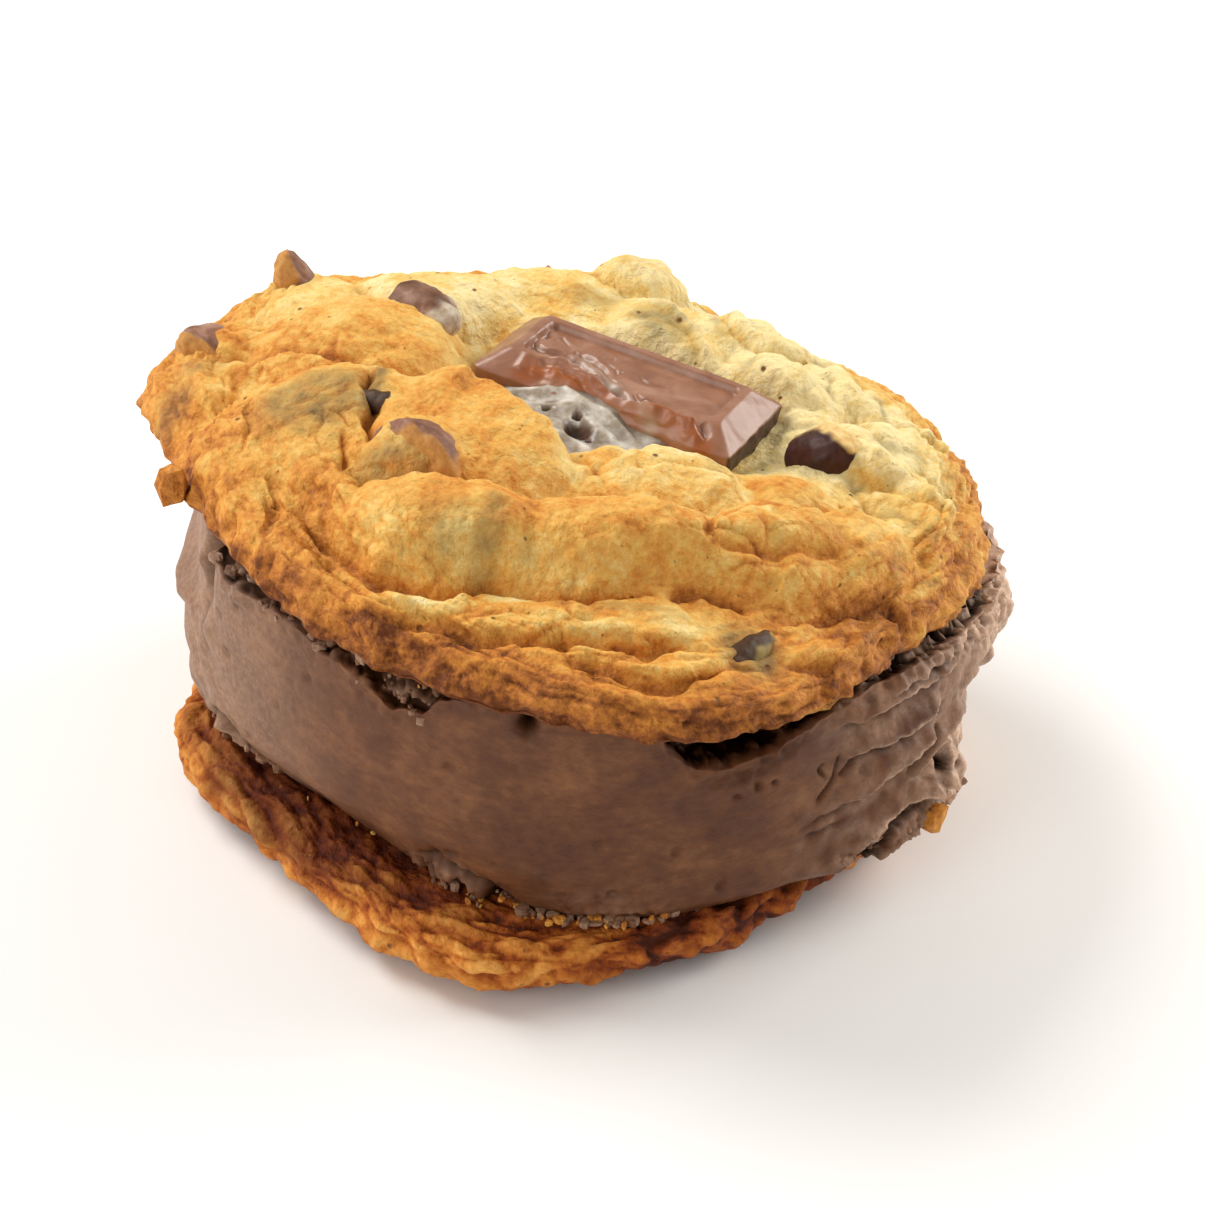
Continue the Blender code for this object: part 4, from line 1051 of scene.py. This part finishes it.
def milk_chocolate(name):
    """Moulded milk chocolate: cocoa butter, milk and sugar, cast glossy and then softened by warm
    dough. A waxy sheen with streaks where it ran, an orange lip that is partly a painted warm
    highlight, and a dull dark grain on the broken end, darker still with painted shade."""
    made, tree, shader, place = new_finish(name)
    melt = add(tree, "Attribute", attribute_name="melt", output="Fac")
    snapped = add(tree, "Attribute", attribute_name="snapped", output="Fac")
    film = add(tree, "Attribute", attribute_name="film", output="Fac")
    streak = add(tree, "TexNoise", {"Vector": place, "Scale": 1 / 0.004, "Detail": 5.0, "Roughness": 0.55,
                                    "Distortion": 0.6})
    tone = add(tree, "ValToRGB", {"Fac": streak}, [(0.3, "#83553C"), (0.5, "#93644A"), (0.7, "#A2775E")])
    # Orange brown along the lip where it ran, partly a painted warm highlight; pale under a film of
    # marshmallow; dark on the broken end, partly painted shade.
    colour = tone
    for share, over in ((melt, "#9A5526"), (film, "#A99380"), (snapped, "#3E2012")):
        colour = add(tree, "Mix", {"Factor": share, 6: colour, 7: to_linear(over)}, **OF_COLOURS)
    grain = add(tree, "TexNoise", {"Vector": place, "Scale": 1 / 0.0014, "Detail": 4.0, "Roughness": 0.6})
    bump = add(tree, "Bump", {"Height": grain, "Distance": 0.07 * MM, "Strength": 1.0})
    duller = add(tree, "MapRange", {"Value": snapped, "To Min": 0.36, "To Max": 0.6})
    feed(tree, shader, {"Base Color": colour, "Normal": bump, "Roughness": duller, "Coat Weight": 0.15,
                        "Coat Roughness": 0.15, "Subsurface Weight": 0.08,
                        "Subsurface Radius": (1.0, 0.5, 0.3), "Subsurface Scale": 0.001})
    return made


bar_middle, bar_axes, bar_half = own_axes("chocolate_bar_piece")
BAR_COLUMNS = 420
# In mm: the foot's height, the widths of the slope, the rim and the tray's wall, the tray's depth.
BAR_FOOT, BAR_SLOPE, BAR_RIM, BAR_TRAY_WALL, BAR_TRAY_DEEP = 3.0, 3.2, 1.0, 0.45, 0.9
# Strands and edges where it has melted, as folds: along and across the piece, in mm.
BAR_FOLDS = [
    (0.5, 0.7, 1.2, 0.25, [(-13.5, -0.6), (-10, -2.4), (-6.5, -2.3), (-3.5, -3.9), (0.4, -5.7),
        (4, -6.6)]),
    (0.4, 0.6, 1, 0.2, [(-7.5, 0.6), (-5, -0.8), (-2.6, -2.2), (-1, -4), (0.8, -4.9)]),
    (0.28, 0.6, 0.9, 0.15, [(-11, 2.6), (-9, 1.2), (-7.8, -0.6)]),
    (0.28, 0.6, 0.9, 0.15, [(-12.6, 3.2), (-11.6, 1.2), (-12.4, -0.6)]),
    (0.25, 0.6, 0.8, 0.12, [(-4.4, 2.4), (-3.6, 0.6), (-2, -1), (-0.4, -1.6)]),
    (0.2, 0.6, 0.8, 0.1, [(0.6, 0.8), (2.6, -0.6), (5.2, -0.8)]),
    (0.45, 0.4, 0.9, 0.25, [(2.2, -4.2), (4, -5.4), (6.8, -5.8)]),
    (0.7, 0.6, 1, 0.4, [(13.6, -7.9), (11.4, -6.9), (9.8, -7.4), (8.2, -6.6), (6.4, -7.3), (4.4, -6.6)]),
    (0.5, 0.5, 1.2, 0.3, [(-10, -5.8), (-6.8, -5.2), (-3.4, -6.6), (0, -7.8)]),
]
bar_top, bar_bottom = bar_half[2], -bar_half[2]
wall_turn = BAR_SLOPE + BAR_RIM
# The profile from the tray out, over the rim, down the slope and foot and under: the inset and the
# height in mm, and how many rows lead there.
profile = [(wall_turn + BAR_TRAY_WALL, bar_top - BAR_TRAY_DEEP, 44), (wall_turn, bar_top, 5),
           (BAR_SLOPE, bar_top, 5), (0.0, bar_bottom + BAR_FOOT, 24), (0.15, bar_bottom, 14),
           (0.9, bar_bottom, 3)]


def bar_row(inset, rounding, height, scale=1.0):
    """One row of the bar piece's skin: its outline moved in and shrunk, at a height."""
    ring = rounded_rectangle(bar_half[0] - inset, bar_half[1] - inset, rounding, BAR_COLUMNS)
    return np.column_stack([ring * scale, np.full(BAR_COLUMNS, height)])


first_inset, first_height, first_count = profile[0]
rows = [bar_row(first_inset, 0.4, first_height, scale) for scale in np.linspace(0, 1, first_count)]
for (inset, height, _), (next_inset, next_height, count) in zip(profile[:-1], profile[1:]):
    for share in np.linspace(0, 1, count + 1)[1:]:
        at_height = height + (next_height - height) * share
        rows.append(bar_row(inset + (next_inset - inset) * share, 0.9, at_height))
rows += [bar_row(next_inset, 0.9, bar_bottom, scale) for scale in np.linspace(1, 0, 8)[1:]]
bar = np.array(rows)
# The sharp ridges of the profile are rounded by averaging each row with its neighbours.
bar[1:-1] = (bar[:-2] + 2 * bar[1:-1] + bar[2:]) / 4
long_, wide_, high_ = bar[..., 0], bar[..., 1], bar[..., 2]
# Along its right half the front has melted back, so that the tray runs out almost to the edge.
moved = -np.interp(-wide_, [0, wall_turn - 0.7, wall_turn, bar_half[1]], [0, 6.2, 7.0, bar_half[1]])
melted_back = step_up((long_ + 3) / 6) * step_up((12.5 - long_) / 1.5)
melted_back *= step_up((high_ - bar_bottom - 1.0) / 1.5)
bar[..., 1] = np.where(wide_ < 0, wide_ + (moved - wide_) * melted_back, wide_)
long_, wide_, high_ = bar[..., 0], bar[..., 1], bar[..., 2]
front = step_up((-wide_ - 3.6) / 2.4) * step_up((high_ - bar_bottom - 0.3) / 1.0)
melt = front * step_up((long_ + 12) / 4) * step_up((14.5 - long_) / 3)
middle_run = step_up(1 - np.abs(long_ - 1.0) / 8.5)
out = outward(bar)
bar_lift = relief(bar, (0.14, 5.0, 91), (0.04, 1.8, 92))
drips = 0.55 * clouds(bar * [0.8, 0.6, 0.6], 3.4, 93) + 0.16 * clouds(bar, 1.5, 94)
bar_lift += melt * (drips - 0.5 * middle_run)
on_tray = step_up(bar_half[0] - wall_turn - 0.5 - np.abs(long_))
on_tray *= step_up(bar_half[1] - wall_turn - 0.4 - wide_) * step_up((high_ - bar_top + 1.6) / 0.4)
soft_ripple = 1 - 2 * np.abs(clouds(bar * [1.0, 0.45, 1.0], 2.4, 95))
bar_lift += on_tray * (0.22 * clouds(bar, 2.6, 96) + 0.20 * soft_ripple * step_up((2 - long_) / 8))
runs = folded(long_ + 0.5 * clouds(bar, 2.5, 102), wide_ + 0.5 * clouds(bar, 2.5, 103), BAR_FOLDS, [])[0]
upper = step_up((high_ - bar_bottom - 1.5) / 1.5)
# The broken end: rougher, and darker in colour, partly its dull grain and partly painted shade.
snapped = step_up((long_ - bar_half[0] + 0.5) / 0.3) * step_up((bar_bottom + BAR_FOOT + 0.1 - high_) / 0.3)
bar_lift += snapped * relief(bar, (0.18, 2.0, 97), (0.08, 0.8, 98))
# A pale streak of marshmallow runs down off the tray, and the lip in front of it is orange
# brown: browned where it ran, with a painted warm highlight.
PALE_RUN = [(-6, -1), (-3.5, -3.2), (0.5, -5.2), (4, -7.2), (6.6, -8.8)]
BROWNED_LIP = [(-11, -7.6), (-7.5, -6.4), (-3, -6.6), (1.5, -8), (6, -7.8), (10, -7.4), (13.6, -8.4)]
pale_run = beside(long_ + 0.4 * clouds(bar, 2.0, 104), wide_, PALE_RUN)[0]
film = np.clip(bell(pale_run / 0.9) * upper * (0.55 + 0.8 * clouds(bar, 1.8, 99)), 0, 0.85)
lip_run = beside(long_, wide_ + 0.5 * clouds(bar, 2.2, 105), BROWNED_LIP)[0]
browned_lip = bell(lip_run / 1.1) * upper
bar = bar + out * bar_lift[..., None]
bar[..., 2] += upper * (runs - 0.5 * bell(np.hypot(long_ - 4.6, wide_ + 6.0) / 0.7))
bar[..., 2] -= 0.4 * melt * upper * (0.4 + clouds(bar, 4.0, 100))
browned = np.clip(browned_lip * (0.8 + 0.7 * clouds(bar, 3.0, 101)), 0, 1)
chocolate_bar = closed_skin("chocolate_bar_piece_melted", bar @ bar_axes + bar_middle,
                            milk_chocolate("moulded milk chocolate"),
                            melt=browned, snapped=snapped, film=film)
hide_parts("chocolate_bar_piece")
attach(chocolate_bar, "root")


# ---- Crumbs ----------------------------------------------------------------------------------
# Bits broken off when the sandwich was pressed: flakes of frozen ice cream in the torn band and on
# the bottom cookie round the slab's foot, and golden crumbs of cookie caught among them.

def scattered_lumps(name, places, sizes, finish, seed, **shades):
    """Broken lumps joined in one mesh: each a ball of three rings of eight points, squared off by
    raising its coordinates to 0.7, with radii that vary by a fifth, stretched to its own half sizes
    and turned about the upright."""
    rings, around = 3, 8
    fall = np.concatenate([[0], np.repeat(np.linspace(0, math.pi, rings + 2)[1:-1], around), [math.pi]])
    turned = np.concatenate([[0], np.tile(np.arange(around) * 2 * math.pi / around, rings), [0]])
    ball = np.stack([np.sin(fall) * np.cos(turned), np.sin(fall) * np.sin(turned), np.cos(fall)], -1)
    ball = np.sign(ball) * np.abs(ball) ** 0.7
    lump, corner = np.meshgrid(np.arange(len(places)), np.arange(len(ball)), indexing="ij")
    shaped = ball * (0.8 + 0.4 * scatter(lump, corner, 0, seed))[..., None] * sizes[:, None, :]
    spin = scatter(np.arange(len(places)), 0, 1, seed)[:, None] * 2 * math.pi
    points = np.stack([shaped[..., 0] * np.cos(spin) - shaped[..., 1] * np.sin(spin),
                       shaped[..., 0] * np.sin(spin) + shaped[..., 1] * np.cos(spin), shaped[..., 2]], -1)
    points += places[:, None, :]
    faces = []
    last = len(ball) - 1
    for here in range(around):
        after = (here + 1) % around
        faces += [(0, 1 + here, 1 + after), (last, last - around + after, last - around + here)]
        for ring in range(rings - 1):
            start = 1 + ring * around
            faces.append((start + here, start + around + here, start + around + after, start + after))
    mesh = bpy.data.meshes.new(name)
    joined = [tuple(corner + lump_at * len(ball) for corner in face)
              for lump_at in range(len(places)) for face in faces]
    mesh.from_pydata((points.reshape(-1, 3) * MM).tolist(), [], joined)
    for shade, values in shades.items():
        mesh.attributes.new(shade, "FLOAT", "POINT").data.foreach_set("value", np.repeat(values, len(ball)))
    mesh.materials.append(finish)
    return placed(name, mesh)


def on_slab(at_degrees, at_share):
    """Points of the slab's side at given degrees round it and shares of its height."""
    apart = np.abs((np.degrees(slab_angle)[None, :] - at_degrees[:, None] + 180) % 360 - 180)
    column = np.argmin(apart, axis=1)
    row = CAP_ROWS + np.argmin(np.abs(high[CAP_ROWS:-CAP_ROWS, column] - at_share), axis=0)
    return slab[row, column]


def strewn(count, from_degrees, to_degrees, low_share, high_share, small, large, out_mm, seed):
    """Places and half sizes of lumps strewn evenly over a patch of the slab's side: small ones are
    the commonest, and each is pushed outward by up to out_mm, sunk a little in what it lies on, and
    kept on the bottom cookie."""
    number = np.arange(count)
    at_degrees = from_degrees + (to_degrees - from_degrees) * scatter(number, 0, 2, seed)
    at_share = low_share + (high_share - low_share) * scatter(number, 1, 3, seed)
    size = small + (large - small) * scatter(number, 2, 4, seed) ** 2
    flatness = np.stack([0.5 + 0.9 * scatter(number, axis, 5, seed) for axis in range(3)], -1)
    places = on_slab(at_degrees, at_share)
    around = np.radians(at_degrees)
    outwards = np.stack([np.cos(around), np.sin(around), 0 * around], -1)
    places += (out_mm * scatter(number, 3, 6, seed) - 0.3 * size)[:, None] * outwards
    places[:, 2] = np.maximum(places[:, 2], base_high[2] + 0.1 * size)
    reach = np.hypot(places[:, 0], places[:, 1])
    furthest = np.where(places[:, 2] < base_high[2] + 2, base_outline(around) - 3.5, reach)
    places[:, :2] *= np.minimum(1, furthest / reach)[:, None]
    return places, size[:, None] * flatness


# Patches of loose ice cream: how many, from and to degrees, from and to a share of the height,
# smallest and largest half size in mm, how far out in mm, and the seed.
ICE_PATCHES = [
    (18, 206, 218, 0.79, 0.90, 0.25, 0.8, 0.1, 110), (18, 218, 230, 0.80, 0.90, 0.25, 0.8, 0.1, 111),
    (20, 230, 242, 0.76, 0.86, 0.25, 0.8, 0.1, 112), (20, 242, 252, 0.73, 0.83, 0.25, 0.8, 0.1, 113),
    (90, 250, 294, 0.0, 0.02, 0.2, 0.7, 1.4, 115), (40, 312, 340, 0.0, 0.14, 0.3, 0.8, 0.1, 116),
    (70, -30, 200, 0.0, 0.02, 0.2, 0.8, 1.4, 117), (14, 202, 216, 0.0, 0.14, 0.3, 0.8, 0.4, 118),
]
# Patches of cookie crumbs, given the same way.
CRUMB_PATCHES = [
    (34, 256, 292, 0.0, 0.02, 0.2, 0.6, 2.2, 121), (8, 225, 254, 0.80, 0.88, 0.15, 0.35, 0.4, 122),
    (24, -30, 250, 0.0, 0.02, 0.2, 0.6, 2.6, 123),
]
places, sizes = (np.concatenate(parts) for parts in zip(*(strewn(*patch) for patch in ICE_PATCHES)))
pale = 0.1 + 0.45 * scatter(np.arange(len(places)), 7, 7, 119)
ice_cream_flakes = scattered_lumps("ice_cream_flakes", places, sizes, ice_cream_slab.data.materials[0], 120,
                                   frost=pale, hollow=0 * pale)
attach(ice_cream_flakes, "root")

cookie_bits = [strewn(*patch) for patch in CRUMB_PATCHES]
# The two large ones: one stuck on the rim at the left, one by the slab's foot at the right.
large_bits = np.array([from_lid(np.array([-44.2, -22.7, 3.5])),
                       on_slab(np.array([332.5]), np.array([0.08]))[0] + [-1.5, -1.8, -0.2]])
cookie_bits.append((large_bits, np.array([[1.7, 1.7, 2.6], [1.7, 1.6, 1.9]])))
places, sizes = (np.concatenate(parts) for parts in zip(*cookie_bits))
baked = 0.4 + 0.35 * scatter(np.arange(len(places)), 7, 7, 124)
cookie_crumbs = scattered_lumps("cookie_crumbs", places, sizes, lid_finish, 125,
                                browning=baked, stain=0 * baked)
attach(cookie_crumbs, "root")


# ---- Table, light and camera -----------------------------------------------------------------
# A plain pale table under soft daylight: a broad light from the upper left, weaker ones from the
# right and from low at the front left, and a pale surround that fills the shade.

def tabletop():
    """A square of matt white laminate, one quad 3 m wide."""
    mesh = bpy.data.meshes.new("tabletop")
    mesh.from_pydata([(-1.5, -1.5, 0), (1.5, -1.5, 0), (1.5, 1.5, 0), (-1.5, 1.5, 0)], [], [(0, 1, 2, 3)])
    made = bpy.data.materials.new("matt white laminate")
    made.use_nodes = True
    made.node_tree.nodes["Principled BSDF"].inputs["Base Color"].default_value = to_linear("#F4F3F1")
    made.node_tree.nodes["Principled BSDF"].inputs["Roughness"].default_value = 0.8
    mesh.materials.append(made)
    return placed("tabletop", mesh)


def softbox(name, place, aim, size, power, colour):
    """A square area light at a place in metres, turned to face its aim."""
    light = bpy.data.lights.new(name, "AREA")
    light.size = size
    light.energy = power
    light.color = to_linear(colour)[:3]
    lamp = placed(name, light)
    lamp.location = place
    lamp.rotation_euler = (Vector(aim) - Vector(place)).to_track_quat("-Z", "Y").to_euler()


tabletop()
aim = (0.0, 0.0, 0.03)
softbox("window light", (-0.60, 0.28, 0.70), aim, 0.55, 8.0, "#FFFDF9")
softbox("right light", (0.60, 0.30, 0.40), aim, 0.5, 5.0, "#FFFCF6")
softbox("left light", (-0.60, -0.62, 0.36), aim, 0.5, 2.9, "#FFFCF8")
world = bpy.data.worlds.new("pale surround")
world.use_nodes = True
world.node_tree.nodes["Background"].inputs["Color"].default_value = to_linear("#FBFAF8")
world.node_tree.nodes["Background"].inputs["Strength"].default_value = 0.42
bpy.context.scene.world = world
bpy.context.scene.view_settings.view_transform = "Standard"

ELEVATION, ROLL = math.radians(33.4), math.radians(4.05)  # of the camera
DISTANCE = 0.290  # from the camera to its target, in metres
target = Vector((3.1, 0.0, 20.2)) * MM
back = Vector((0, -math.cos(ELEVATION), math.sin(ELEVATION)))
right_hand, upright = Vector((1, 0, 0)), Vector((0, math.sin(ELEVATION), math.cos(ELEVATION)))
rolled_right = math.cos(ROLL) * right_hand + math.sin(ROLL) * upright
rolled_up = math.cos(ROLL) * upright - math.sin(ROLL) * right_hand
lens = bpy.data.cameras.new("camera")
lens.sensor_width = 36.0
lens.lens = 68.05
lens.clip_start = 0.01
camera = placed("camera", lens)
camera.matrix_world = Matrix((rolled_right, rolled_up, back)).transposed().to_4x4()
camera.location = target + back * DISTANCE
bpy.context.scene.camera = camera
